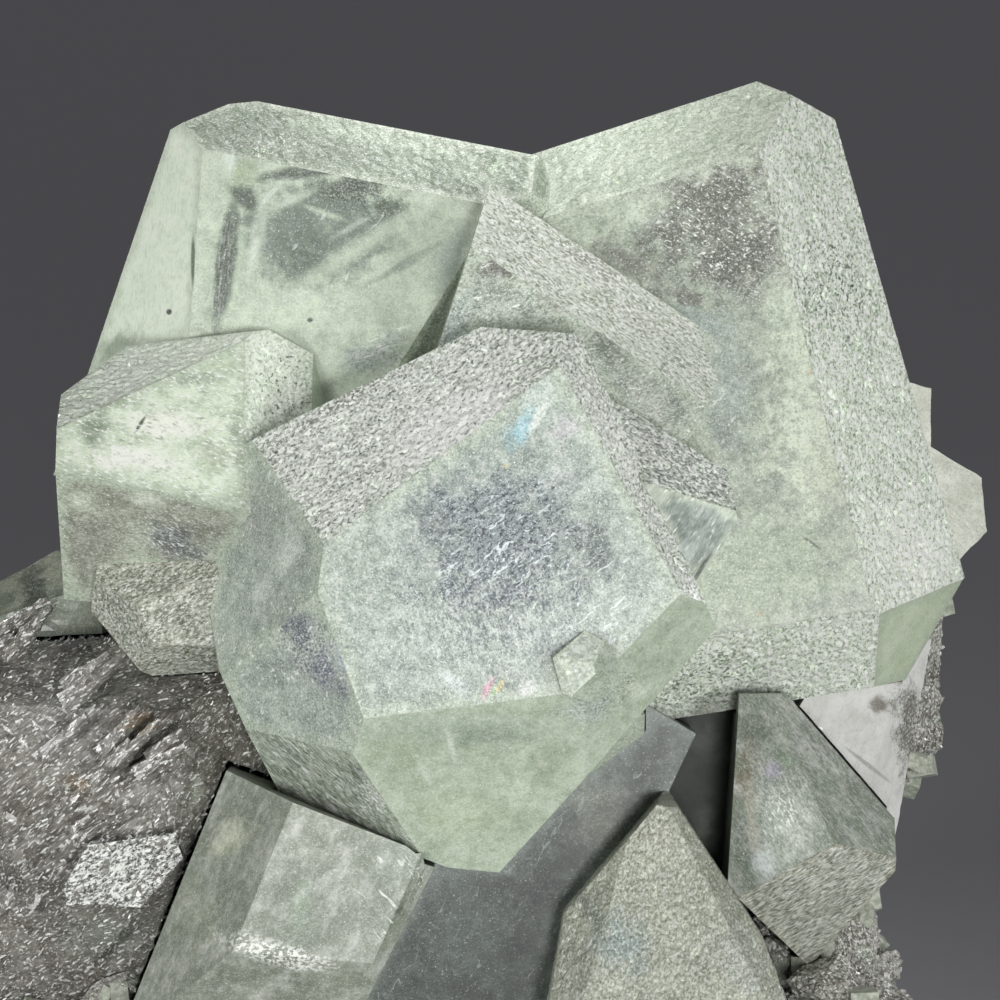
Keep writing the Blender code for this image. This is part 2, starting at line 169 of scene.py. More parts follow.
world = bpy.data.worlds.new("world")
world.use_nodes = True
world.node_tree.nodes["Background"].inputs["Color"].default_value = (*WORLD_COLOUR, 1)
bpy.context.scene.world = world
bpy.context.scene.view_settings.view_transform = "Standard"
cycles = bpy.context.scene.cycles
cycles.transparent_max_bounces = 32
cycles.max_bounces = 8
cycles.diffuse_bounces = 1
cycles.use_adaptive_sampling = True
cycles.adaptive_threshold = 0.03
cycles.sample_clamp_indirect = 4.0
print("floor", FLOOR_SIZE, "m, at most", cycles.max_bounces, "bounces")

# %% Softboxes
SOFTBOXES = (
    # name, heading and height in degrees, beam's spread in degrees, distance and size in metres, watts
    ("left", -46, 4, 36, 0.28, 0.10, 0.0185),
    ("right", 42, 3, 36, 0.30, 0.10, 0.0185),
    ("low", 8, 1, 30, 0.34, 0.06, 0.0125),
    ("top", 180, 86, 8, 0.30, 0.02, 0.0016),
    ("back_left", -148, 12, 18, 0.30, 0.06, 0.006),
    ("back_right", 140, 12, 18, 0.30, 0.06, 0.006),
)
AIM = Vector((0.002, 0, 0.038))      # middle of the crystals, in metres


def softbox(name, heading, height, spread, distance, size, watts):
    light = bpy.data.lights.new(name, "AREA")
    light.shape = "DISK"
    light.size = size
    light.energy = watts
    light.spread = math.radians(spread)
    lamp = linked(name, light)
    around, up = math.radians(heading), math.radians(height)
    way = Vector((math.sin(around) * math.cos(up), -math.cos(around) * math.cos(up), math.sin(up)))
    lamp.location = AIM + way * distance
    lamp.rotation_euler = way.to_track_quat("Z", "Y").to_euler()


for box in SOFTBOXES:
    softbox(*box)
print(len(SOFTBOXES), "softboxes")

# %% [markdown]
# ## From loose triangles to whole faces
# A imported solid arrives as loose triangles. Merging its corners and dissolving the flat edges gives
# back the crystal's faces as whole polygons. A face can then be filled with an even net of small
# triangles. On a frosted face every net point is lifted by a random height, so that each little
# triangle catches the light in its own way: that is what a sugary crystal face really does.

# %% Whole faces
SAME_POINT = 1e-6                    # m
FLAT = math.radians(0.5)
SHAKE = 0.25                         # of the net's spacing
RIM_GAP = 0.45                       # of the net's spacing, between the net and the outline
AT_ONCE = 2_000_000                  # distances that are worked out in one go
TINY = 1e-12
SHORTEST = 1e-9                      # mm
SHARPEST = 0.4                       # keeps a sharp corner from moving far out
CLOSE = 1e-7                         # mm between points that count as one


def whole_faces(node_name):
    """A bmesh of a CAD node's copy with one polygon for each flat face."""
    bm = bmesh.new()
    bm.from_mesh(frame["nodes"][node_name].data)
    bmesh.ops.remove_doubles(bm, verts=bm.verts[:], dist=SAME_POINT)
    bmesh.ops.dissolve_limit(bm, angle_limit=FLAT, verts=bm.verts[:], edges=bm.edges[:])
    return bm


def net_points(outline, spacing, rng):
    """Points of a shaken triangular net inside a flat outline, and their distance to its edge."""
    low, high = outline.min(0), outline.max(0)
    rows = np.arange(low[1], high[1], spacing * math.sqrt(3) / 2)
    columns = np.arange(low[0], high[0], spacing)
    net = np.array([(x + spacing / 2 * (i % 2), y) for i, y in enumerate(rows) for x in columns])
    if not len(net):
        return np.zeros((0, 2)), np.zeros(0)
    net = net + rng.uniform(-SHAKE, SHAKE, net.shape) * spacing
    edge = np.roll(outline, -1, axis=0) - outline
    length = np.maximum((edge ** 2).sum(1), TINY)
    end_y = np.roll(outline[:, 1], -1)
    rise = np.where(edge[:, 1] == 0, TINY, edge[:, 1])
    kept, reach = [], []
    for block in np.array_split(net, max(1, len(net) * len(outline) // AT_ONCE)):
        x = block[:, None, 0] - outline[:, 0]
        y = block[:, None, 1] - outline[:, 1]
        across = (y < 0) != (block[:, None, 1] < end_y)
        left = x < edge[:, 0] * y / rise
        inside = (across & left).sum(1) % 2 == 1
        along = np.clip((x * edge[:, 0] + y * edge[:, 1]) / length, 0, 1)
        distance = np.hypot(x - along * edge[:, 0], y - along * edge[:, 1]).min(1)
        good = inside & (distance > spacing * RIM_GAP)
        kept.append(block[good])
        reach.append(distance[good])
    return np.concatenate(kept), np.concatenate(reach)


def widened(outline, reach):
    """The outline moved outward by a reach, corner by corner."""
    before = outline - np.roll(outline, 1, axis=0)
    after = np.roll(outline, -1, axis=0) - outline
    ways = []
    for edges in (before, after):
        length = np.maximum(np.hypot(edges[:, 0], edges[:, 1]), SHORTEST)
        ways.append(np.stack([edges[:, 1], -edges[:, 0]], 1) / length[:, None])
    share = np.maximum(1 + (ways[0] * ways[1]).sum(1), SHARPEST)
    return outline + reach * (ways[0] + ways[1]) / share[:, None]


def cut_outline(outline, spacing):
    """An outline with points added along its edges, no further apart than the spacing."""
    points = []
    for start, end in zip(outline, np.roll(outline, -1, axis=0)):
        parts = max(1, math.ceil(np.linalg.norm(end - start) / spacing))
        points += [start + (end - start) * step / parts for step in range(parts)]
    return np.array(points)


def fill(outline, spacing, rng):
    """Net of triangles in a flat outline: (points, distance of each to the edge, triangles)."""
    rim = cut_outline(outline, spacing)
    inner, reach = net_points(rim, spacing, rng)
    points = np.concatenate([rim, inner])
    edges = [(i, (i + 1) % len(rim)) for i in range(len(rim))]
    flat, _edges, faces, origin, _e, _f = delaunay_2d_cdt([Vector(p) for p in points], edges, [], 1, CLOSE)
    distance = np.concatenate([np.zeros(len(rim)), reach])
    far = [distance[where[0]] if where else 0.0 for where in origin]
    return np.array([tuple(p) for p in flat]), np.array(far), [tuple(face) for face in faces]


# %% [markdown]
# ## Which face is which
# Every face of the clear crystals is known by its crystal, the way it faces and how far out it
# lies. The table names the finish of each face that shows: fronts are glassy and hazy, most slopes
# are frosted, and some are smooth and green. The faces that it leaves out share one plain finish.

# %% Finishes of the upper crystals' faces
UPPER_FACES = {
    # crystal: (middle, ((heading, tilt, reach, finish), ...))
    "right_cube": ((8.0, 3.4, -8.0), (
        (0, 0, 12.0, "haze"), (14, 45, 15.4, "frost"), (107, 45, 17.8, "mist"), (-81, 45, 16.4, "frost"),
        (-35, 60, 19.7, "green"), (16, 90, 15.1, "mist"), (65, 90, 20.6, "frost"))),
    "left_cube": ((-9.6, 11.3, -4.0), (
        (0, 0, 10.0, "haze"), (79, 45, 11.6, "mist"), (176, 45, 12.1, "green"), (-32, 45, 11.0, "mist"),
        (21, 65, 15.1, "mist"), (97, 90, 11.0, "mist"), (115, 90, 11.7, "mist"))),
    "middle_cube": ((3.3, 6.7, 0.0), (
        (0, 0, 11.0, "haze"), (56, 45, 9.9, "mist"), (162, 88, 7.1, "haze"))),
    "front_cube": ((-3.8, -5.9, 8.0), (
        (0, 0, 10.0, "haze"), (127, 45, 11.4, "frost"), (172, 55, 10.5, "low_haze"),
        (200, 45, 10.6, "low_haze"), (232, 62, 11.4, "mist"), (277, 35, 11.1, "green"),
        (-44, 45, 13.3, "green"), (28, 55, 15.7, "frost"))),
    "left_small_cube": ((-18.6, 2.2, 0.0), (
        (80, 22, 10.5, "haze"), (-102, 40, 10.2, "low_haze"), (108, 60, 8.2, "frost"),
        (30, 39, 11.2, "frost"), (11, 64, 11.1, "green"))),
    "left_lobe": ((-17.6, -6.1, 3.0), (
        (-60, 12, 6.7, "mist"), (110, 35, 6.4, "mist"), (-88, 55, 5.1, "mist"), (-150, 50, 5.6, "mist"))),
    "right_small_cube": ((9.1, -0.3, 8.0), (
        (-30, 10, 8.2, "haze"), (63, 45, 6.4, "frost"), (190, 38, 7.7, "frost"))),
    "upper_bud": ((8.1, -7.2, 9.0), (
        (20, 12, 4.4, "haze"), (80, 45, 3.8, "mist"), (200, 45, 3.8, "mist"), (-60, 45, 3.7, "mist"))),
    "white_bud": ((4.6, -8.8, 15.0), (
        (200, 14, 4.4, "frost"), (95, 40, 3.7, "frost"), (200, 40, 4.0, "frost"))),
    "lower_bud": ((5.7, -12.0, 9.0), (
        (-40, 15, 3.3, "mist"), (60, 50, 2.9, "mist"))),
}
SAME_WAY = 0.9995                    # cosine between a face's normal and its plane's
SAME_REACH = 0.08                    # mm


def finish_of(face, crystals):
    """The finish that the table gives a face, or plain glass."""
    normal = TO_GROWTH.to_3x3() @ face.normal
    middle = TO_GROWTH @ face.calc_center_median() / MM
    for centre, planes in crystals.values():
        for heading, tilt, reach, finish in planes:
            if normal.dot(facing(heading, tilt)) > SAME_WAY:
                if abs(normal.dot(middle - Vector(centre)) - reach) < SAME_REACH:
                    return finish
    return "glass"


def face_plan(face):
    """A face's own flat axes and its outline in millimetres on them."""
    origin = face.verts[0].co.copy()
    normal = face.normal.copy()
    across = (face.verts[1].co - origin).normalized()
    up = normal.cross(across)
    outline = np.array([((v.co - origin).dot(across) / MM, (v.co - origin).dot(up) / MM) for v in face.verts])
    return origin, across, up, normal, outline


# %% Skins that follow a face
def skin(name, faces, spacing, lift, relief, grain, reach, seed):
    """A mesh that lies on the given faces: a net whose points are lifted by a random relief."""
    rng = np.random.default_rng(seed)
    points, triangles, rims = [], [], []
    for face in faces:
        origin, across, up, normal, outline = face_plan(face)
        flat, distance, net = fill(widened(outline, reach), spacing, rng)
        start = len(points)
        for (x, y), far in zip(flat, distance):
            place = origin + (across * x + up * y) * MM
            swell = noise.noise(place / MM * grain) * 0.5 + rng.uniform(-0.5, 0.5)
            height = lift + (relief * swell if far > 0 else 0)
            points.append(place + normal * height * MM)
            rims.append(far)
        triangles += [tuple(start + corner for corner in corners) for corners in net]
    mesh = bpy.data.meshes.new(name)
    mesh.from_pydata(points, [], triangles)
    inward = mesh.attributes.new("inward", "FLOAT", "POINT")
    inward.data.foreach_set("value", rims)
    print(name, len(faces), "faces,", len(triangles), "triangles")
    return mesh


upper_faces = whole_faces("upper_crystals")
by_finish = {}
for face in upper_faces.faces:
    by_finish.setdefault(finish_of(face, UPPER_FACES), []).append(face)
for finish, faces in by_finish.items():
    print(finish, len(faces), "faces,", round(sum(f.calc_area() for f in faces) / MM / MM), "mm2")

# %% [markdown]
# ## Shader groups
# Five effects come back in most of the finishes, so each is a node group with named sockets. *Growth
# place* gives the place in the growth frame in millimetres, so that marks can be set where the
# specimen has them. *Patch* is the soft, ragged outline of one such mark. *Specks* are separate
# grains, pits or, when stretched, needles; white specks are partly white grains and partly painted
# glints, the sparkle of small facets in the lamps' light. *Curls* are the short bright lines that
# healed cracks leave inside fluorite. *Sugar* is the even grain of a frosted face: it lightens one
# half of what it lies on and darkens the other half.

# %% Helpers for node trees
def new_group(name, inputs, outputs):
    """A shader node group with its sockets: (tree, input node, output node)."""
    tree = bpy.data.node_groups.new(name, "ShaderNodeTree")
    for title, kind, value in inputs:
        socket = tree.interface.new_socket(title, in_out="INPUT", socket_type="NodeSocket" + kind)
        if value is not None:
            socket.default_value = value
    for title, kind in outputs:
        tree.interface.new_socket(title, in_out="OUTPUT", socket_type="NodeSocket" + kind)
    return tree, tree.nodes.new("NodeGroupInput"), tree.nodes.new("NodeGroupOutput")


def connect(tree, source, target):
    """Link a socket, or set a plain value."""
    if isinstance(source, bpy.types.NodeSocket):
        tree.links.new(source, target)
    else:
        target.default_value = source


def math_node(tree, operation, *values):
    node = tree.nodes.new("ShaderNodeMath")
    node.operation = operation
    for socket, value in zip(node.inputs, values):
        connect(tree, value, socket)
    return node.outputs[0]


def vector_node(tree, operation, first, second=(0, 0, 0)):
    node = tree.nodes.new("ShaderNodeVectorMath")
    node.operation = operation
    connect(tree, first, node.inputs[0])
    connect(tree, second, node.inputs[1])
    return node.outputs["Value"] if operation == "LENGTH" else node.outputs["Vector"]


def turned(tree, vector, angle, axis="Z_AXIS"):
    node = tree.nodes.new("ShaderNodeVectorRotate")
    node.rotation_type = axis
    connect(tree, vector, node.inputs["Vector"])
    connect(tree, angle, node.inputs["Angle"])
    return node.outputs[0]


def ramp(tree, value, low, high, to_low=0.0, to_high=1.0):
    node = tree.nodes.new("ShaderNodeMapRange")
    node.interpolation_type = "SMOOTHSTEP"
    for socket, item in zip(node.inputs, (value, low, high, to_low, to_high)):
        connect(tree, item, socket)
    return node.outputs[0]


def noise_node(tree, place, scale, detail=3.0, roughness=0.55):
    node = tree.nodes.new("ShaderNodeTexNoise")
    connect(tree, place, node.inputs["Vector"])
    for title, value in (("Scale", scale), ("Detail", detail), ("Roughness", roughness)):
        connect(tree, value, node.inputs[title])
    return node.outputs[0]


def mix_colour(tree, share, first, second):
    node = tree.nodes.new("ShaderNodeMix")
    node.data_type = "RGBA"
    connect(tree, share, node.inputs[0])
    connect(tree, first, node.inputs[6])
    connect(tree, second, node.inputs[7])
    return node.outputs[2]


def mix_value(tree, share, first, second):
    node = tree.nodes.new("ShaderNodeMix")
    connect(tree, share, node.inputs[0])
    connect(tree, first, node.inputs[2])
    connect(tree, second, node.inputs[3])
    return node.outputs[0]


def bumped(tree, shader, height, strength, depth):
    """Let a height shape the shader's surface."""
    hills = tree.nodes.new("ShaderNodeBump")
    hills.inputs["Strength"].default_value = strength
    hills.inputs["Distance"].default_value = depth
    connect(tree, height, hills.inputs["Height"])
    connect(tree, hills.outputs[0], shader.inputs["Normal"])


def use_group(tree, group, **values):
    node = tree.nodes.new("ShaderNodeGroup")
    node.node_tree = group
    for title, value in values.items():
        connect(tree, value, node.inputs[title])
    return node


def stretched(tree, given):
    """The group's Place, turned and drawn out along the way of its Turn."""
    spun = turned(tree, given.outputs["Place"], math_node(tree, "MULTIPLY", given.outputs["Turn"], -1.0))
    shape = tree.nodes.new("ShaderNodeCombineXYZ")
    tree.links.new(math_node(tree, "DIVIDE", 1.0, given.outputs["Stretch"]), shape.inputs[0])
    shape.inputs[1].default_value = 1.0
    shape.inputs[2].default_value = 1.0
    return vector_node(tree, "MULTIPLY", spun, shape.outputs[0])


# %% Growth place and patch
place_group, given, result = new_group("Growth place", (), (("Place", "Vector"),))
here = place_group.nodes.new("ShaderNodeTexCoord").outputs["Object"]
centred = vector_node(place_group, "SUBTRACT", here, GROWTH_ORIGIN)
leaned = turned(place_group, centred, LEAN - math.pi / 2, "X_AXIS")
place_group.links.new(vector_node(place_group, "MULTIPLY", leaned, (1 / MM,) * 3), result.inputs[0])

patch_group, given, result = new_group(
    "Patch",
    (("Place", "Vector", None), ("Centre", "Vector", None), ("Half", "Vector", None),
     ("Turn", "Float", 0.0), ("Soft", "Float", 0.5), ("Wobble", "Float", 0.0)),
    (("Mask", "Float"),))
offset = vector_node(patch_group, "SUBTRACT", given.outputs["Place"], given.outputs["Centre"])
straight = turned(patch_group, offset, math_node(patch_group, "MULTIPLY", given.outputs["Turn"], -1.0))
unit = vector_node(patch_group, "DIVIDE", straight, given.outputs["Half"])
radius = math_node(patch_group, "ADD", vector_node(patch_group, "LENGTH", unit), given.outputs["Wobble"])
core = math_node(patch_group, "SUBTRACT", 1.0, given.outputs["Soft"])
patch_group.links.new(
    math_node(patch_group, "SUBTRACT", 1.0, ramp(patch_group, radius, core, 1.0)), result.inputs[0])

# %% Specks and curls
MIDDLE = 0.5                         # of the noise's range
WAVES = 1.2                          # noise waves over the size of a grain
RAREST = 0.70                        # noise level that next to nothing passes
SHARE_REACH = 0.32                   # how far down a share of 1 brings that level
SPECK_EDGE = 0.13                    # noise range over which a speck fades out
CURL_EDGE = 0.06
CURL_CORE = 0.4                      # of a curl's width, where it is brightest
CURLS_APART = (31.0, 17.0, 5.0)      # mm between the pattern of the lines and the one that cuts them
specks_group, given, result = new_group(
    "Specks",
    (("Place", "Vector", None), ("Size", "Float", 0.25), ("Stretch", "Float", 1.0),
     ("Turn", "Float", 0.0), ("Share", "Float", 0.3)),
    (("Mask", "Float"), ("Height", "Float")))
per_mm = math_node(specks_group, "DIVIDE", WAVES, given.outputs["Size"])
grain = noise_node(specks_group, stretched(specks_group, given), per_mm, 2.0, 0.6)
bar = math_node(specks_group, "MULTIPLY_ADD", given.outputs["Share"], -SHARE_REACH, RAREST)
specks_group.links.new(
    ramp(specks_group, grain, bar, math_node(specks_group, "ADD", bar, SPECK_EDGE)), result.inputs["Mask"])
specks_group.links.new(grain, result.inputs["Height"])

curls_group, given, result = new_group(
    "Curls",
    (("Place", "Vector", None), ("Size", "Float", 0.5), ("Stretch", "Float", 1.0),
     ("Turn", "Float", 0.0), ("Width", "Float", 0.02), ("Share", "Float", 0.3)),
    (("Mask", "Float"),))
drawn = stretched(curls_group, given)
per_mm = math_node(curls_group, "DIVIDE", WAVES, given.outputs["Size"])
level = noise_node(curls_group, drawn, per_mm, 2.0, 0.5)
away = math_node(curls_group, "ABSOLUTE", math_node(curls_group, "SUBTRACT", level, MIDDLE))
core = math_node(curls_group, "MULTIPLY", given.outputs["Width"], CURL_CORE)
line = math_node(curls_group, "SUBTRACT", 1.0, ramp(curls_group, away, core, given.outputs["Width"]))
aside = vector_node(curls_group, "ADD", drawn, CURLS_APART)
pieces = noise_node(curls_group, aside, math_node(curls_group, "MULTIPLY", per_mm, 0.9), 1.0)
bar = math_node(curls_group, "MULTIPLY_ADD", given.outputs["Share"], -SHARE_REACH, RAREST)
kept = ramp(curls_group, pieces, bar, math_node(curls_group, "ADD", bar, CURL_EDGE))
curls_group.links.new(math_node(curls_group, "MULTIPLY", line, kept), result.inputs[0])

# %% Sugar
SUGAR_CONTRAST = 6.0
sugar_group, given, result = new_group(
    "Sugar",
    (("Place", "Vector", None), ("Size", "Float", 0.15), ("Stretch", "Float", 1.0),
     ("Turn", "Float", 0.0), ("Gain", "Float", 1.0)),
    (("Light", "Float"), ("Dark", "Float"), ("Height", "Float")))
drawn = stretched(sugar_group, given)
per_mm = math_node(sugar_group, "DIVIDE", WAVES, given.outputs["Size"])
fine = noise_node(sugar_group, drawn, per_mm, 3.0, 0.8)
lift = math_node(sugar_group, "MULTIPLY", math_node(sugar_group, "SUBTRACT", fine, MIDDLE), SUGAR_CONTRAST)
lift = math_node(sugar_group, "MULTIPLY", lift, given.outputs["Gain"])
sugar_group.links.new(math_node(sugar_group, "MAXIMUM", lift, 0.0), result.inputs["Light"])
sunk = math_node(sugar_group, "MULTIPLY", lift, -1.0)
sugar_group.links.new(math_node(sugar_group, "MAXIMUM", sunk, 0.0), result.inputs["Dark"])
sugar_group.links.new(fine, result.inputs["Height"])
print("groups:", ", ".join(sorted(group.name for group in bpy.data.node_groups)))

# %% [markdown]
# ## One finish from layers
# Every finish starts as a cloud of two colours. Marks are then laid on it in order, as a painter
# would: a patch is one cloud, stain or shadow that the specimen has at that place, and specks and
# curls are spread over a whole face or only inside a patch. Colours are given as they look on a
# screen, from 0 to 255, and turned into the linear values that a shader wants.

# %% Colours and layers
def linear(colour):
    """A screen colour as a shader's linear values and full alpha."""
    parts = [value / 255 for value in colour]
    return (*(part / 12.92 if part <= 0.04045 else ((part + 0.055) / 1.055) ** 2.4 for part in parts), 1)


# white of real grains, and of painted glints where specks use it
WHITE = (244, 247, 240)
MILK_GREEN = (214, 224, 203)
# painted glow: the green of light gathering in the crystals, also the light side of their clouds
GLOWING_GREEN = (226, 237, 210)
PALE_GREEN = (190, 203, 180)
LEAF_GREEN = (180, 196, 166)
GREY_GREEN = (160, 171, 154)
MOSS = (118, 132, 112)
DARK_PIT = (84, 96, 80)
SMOKE = (112, 110, 102)
DEEP_SMOKE = (74, 73, 68)
BEIGE = (176, 176, 158)


@dataclass
class Patch:
    """A soft mark. Its middle and half sizes are pixels of the photograph, its turn degrees."""

    column: float
    row: float
    half_width: float
    half_height: float
    turn: float = 0.0
    colour: tuple = None
    alpha: float = None
    soft: float = 0.9
    ragged: float = 1.0


@dataclass
class Specks:
    """Grains, pits or needles, and in white painted glints: size in millimetres, share of the area, and where
    they are.
    """

    size: float
    share: float
    colour: tuple
    strength: float = 1.0
    stretch: float = 1.0
    turn: float = 0.0
    region: Patch = None
    curled: float = 0.0              # width of a curl, or 0 for grains


@dataclass
class Sugar:
    """A continuous grain that lightens and darkens what it lies on."""

    size: float
    gain: float
    stretch: float = 1.0
    turn: float = 0.0
    light: tuple = WHITE
    dark: tuple = DARK_PIT
    region: Patch = None


PALER = 0.6                          # share of a grain's gain that its light side gets
MOST = 0.9                           # that a grain can cover
FREE_DEPTH = 1000.0                  # mm: a patch reaches through the whole depth
APART = 7.3                          # mm that each layer's pattern is moved from the last one's
CLOUD_EDGES = (0.36, 0.64)           # noise levels of the dark and the light clouds
WOBBLES = 0.9                        # waves per mm along a patch's ragged edge
WOBBLE = 1.6                         # how far they reach
BORDER_COVER = 0.8
COAT_ROUGHNESS = 0.12
BUMP_DEPTH = 0.1 * MM
FLUORITE_IOR = 1.434


def patch_mask(tree, place, ragged, toward, patch):
    scale = pixel_size(toward)
    return use_group(
        tree, patch_group, Place=place, Centre=seen(patch.column, patch.row, toward),
        Turn=math.radians(patch.turn), Soft=patch.soft,
        Half=(patch.half_width * scale, patch.half_height * scale, FREE_DEPTH),
        Wobble=math_node(tree, "MULTIPLY", ragged, patch.ragged)).outputs[0]


def grain_group(tree, group, place, layer, index, **values):
    """A group that makes a layer's grain, in a pattern that no other layer has."""
    moved = vector_node(tree, "ADD", place, (0, 0, index * APART))
    return use_group(tree, group, Place=moved, Size=layer.size, Stretch=layer.stretch,
                     Turn=math.radians(layer.turn), **values)


def specks_mask(tree, place, ragged, toward, specks, index):
    if specks.curled:
        node = grain_group(tree, curls_group, place, specks, index, Share=specks.share, Width=specks.curled)
    else:
        node = grain_group(tree, specks_group, place, specks, index, Share=specks.share)
    mask = math_node(tree, "MULTIPLY", node.outputs["Mask"], specks.strength)
    if specks.region:
        mask = math_node(tree, "MULTIPLY", mask, patch_mask(tree, place, ragged, toward, specks.region))
    return mask


def sugar_colour(tree, place, ragged, toward, sugar, index, colour):
    """The colour with a continuous grain on it, and the grain's height."""
    gain = sugar.gain
    if sugar.region:
        gain = math_node(tree, "MULTIPLY", patch_mask(tree, place, ragged, toward, sugar.region), gain)
    node = grain_group(tree, sugar_group, place, sugar, index, Gain=gain)
    darker = math_node(tree, "MINIMUM", node.outputs["Dark"], MOST)
    lighter = math_node(tree, "MINIMUM", math_node(tree, "MULTIPLY", node.outputs["Light"], PALER), MOST)
    colour = mix_colour(tree, darker, colour, linear(sugar.dark))
    return mix_colour(tree, lighter, colour, linear(sugar.light)), node.outputs["Height"]


def painted(name, toward, dark, light, layers=(), alpha=None, roughness=0.35, clouds=0.5, bump=0.0, coat=0.0,
            border=None):
    """A finish for what lies on a face or inside a crystal, from clouds of two colours and layers.

    toward is the depth in millimetres that the patches are read at. alpha is the pair of shares
    that show in the dark and the light clouds, for a veil. border is the width in millimetres and
    the colour of a soft edge that the finish shares with its neighbours.
    """
    material, tree, shader = new_material(name)
    shader.inputs["Roughness"].default_value = roughness
    shader.inputs["IOR"].default_value = FLUORITE_IOR
    shader.inputs["Coat Weight"].default_value = coat
    shader.inputs["Coat Roughness"].default_value = COAT_ROUGHNESS
    place = use_group(tree, place_group).outputs[0]
    cloud = ramp(tree, noise_node(tree, place, clouds, 6.0, 0.65), *CLOUD_EDGES)
    colour = mix_colour(tree, cloud, linear(dark), linear(light))
    cover = mix_value(tree, cloud, *alpha) if alpha else None
    ragged = math_node(tree, "SUBTRACT", noise_node(tree, place, WOBBLES, 6.0, 0.7), MIDDLE)
    ragged = math_node(tree, "MULTIPLY", ragged, WOBBLE)
    height = None
    if border:
        inward = tree.nodes.new("ShaderNodeAttribute")
        inward.attribute_name = "inward"
        away = math_node(tree, "MULTIPLY_ADD", ragged, border[0], inward.outputs["Fac"])
        edge = math_node(tree, "SUBTRACT", 1.0, ramp(tree, away, 0.0, border[0]))
        edge = math_node(tree, "MULTIPLY", edge, BORDER_COVER)
        colour = mix_colour(tree, edge, colour, linear(border[1]))
    for index, layer in enumerate(layers):
        if isinstance(layer, Sugar):
            colour, height = sugar_colour(tree, place, ragged, toward, layer, index, colour)
            continue
        if isinstance(layer, Patch):
            mask = patch_mask(tree, place, ragged, toward, layer)
            if cover is not None and layer.alpha is not None:
                cover = mix_value(tree, mask, cover, layer.alpha)
        else:
            mask = specks_mask(tree, place, ragged, toward, layer, index)
            if cover is not None:
                cover = math_node(tree, "MAXIMUM", cover, mask)
        if layer.colour is not None:
            colour = mix_colour(tree, mask, colour, linear(layer.colour))
    connect(tree, colour, shader.inputs["Base Color"])
    if cover is not None:
        connect(tree, cover, shader.inputs["Alpha"])
    if bump and height:
        bumped(tree, shader, height, bump, BUMP_DEPTH)
    return material


# %% [markdown]
# ## Clear fluorite
# The crystals are one clear body. Plain transmission, the index of refraction of fluorite (1.434)
# and a Volume Absorption node that takes a little red out of the light make its pale green. Lamps
# have to reach the veils inside, and glass stops their light in a path tracer, so a Mix Shader lets
# shadow rays pass through a faintly tinted Transparent shader.

# %% Clear crystal material
SWELLS = 1.6                         # gentle waves per mm on the glass
SWELL_STRENGTH = 0.2
SWELL_DEPTH = 0.04 * MM
DULLER = 0.35                        # waves per mm between smoother and duller places
DULL_EDGES = (0.35, 0.7)             # noise levels of the smoothest and the dullest


def clear_crystal(name, tint, left, density, roughness, shade):
    """Glass that lets lamps through. left is the colour that stays after 1/density metres."""
    material, tree, shader = new_material(name)
    output = tree.nodes["Material Output"]
    shader.inputs["Transmission Weight"].default_value = 1.0
    shader.inputs["IOR"].default_value = FLUORITE_IOR
    shader.inputs["Base Color"].default_value = (*tint, 1)
    place = use_group(tree, place_group).outputs[0]
    uneven = ramp(tree, noise_node(tree, place, DULLER, 4.0), *DULL_EDGES, *roughness)
    connect(tree, uneven, shader.inputs["Roughness"])
    bumped(tree, shader, noise_node(tree, place, SWELLS, 4.0), SWELL_STRENGTH, SWELL_DEPTH)
    through = tree.nodes.new("ShaderNodeBsdfTransparent")
    through.inputs[0].default_value = (*shade, 1)
    switch = tree.nodes.new("ShaderNodeMixShader")
    tree.links.new(tree.nodes.new("ShaderNodeLightPath").outputs["Is Shadow Ray"], switch.inputs[0])
    tree.links.new(shader.outputs[0], switch.inputs[1])
    tree.links.new(through.outputs[0], switch.inputs[2])
    tree.links.new(switch.outputs[0], output.inputs["Surface"])
    volume = tree.nodes.new("ShaderNodeVolumeAbsorption")
    volume.inputs["Color"].default_value = (*left, 1)
    volume.inputs["Density"].default_value = density
    tree.links.new(volume.outputs[0], output.inputs["Volume"])
    return material


# %% [markdown]
# ## The upper crystals
# One clear body keeps every face of the solid and stands for it. Each crystal then gets skins on
# its faces: a smooth coated haze on the glassy ones, and frosting on its bevels. The marks in each
# finish are what the specimen shows there: windows, growth bands, clouds and stains.

# %% Clear body of the upper crystals
def carried(name, mesh, material, node_name=None):
    """An object of the specimen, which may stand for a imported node."""
    mesh.materials.append(material)
    obj = linked(name, mesh)
    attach(obj, "root")
    if node_name:
        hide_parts(node_name)


def clear_body(name, bm, node_name, material):
    """The crystal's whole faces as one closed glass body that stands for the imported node."""
    copy = bm.copy()
    bmesh.ops.triangulate(copy, faces=copy.faces[:])
    mesh = bpy.data.meshes.new(name)
    copy.to_mesh(mesh)
    copy.free()
    carried(name, mesh, material, node_name)
    print(name, len(mesh.polygons), "triangles")


upper_glass = clear_crystal(
    "clear_green_fluorite", tint=(0.96, 0.985, 0.955), left=(0.80, 0.94, 0.80), density=22,
    roughness=(0.02, 0.12), shade=(0.93, 0.955, 0.925))
clear_body("upper_clear", upper_faces, "upper_crystals", upper_glass)
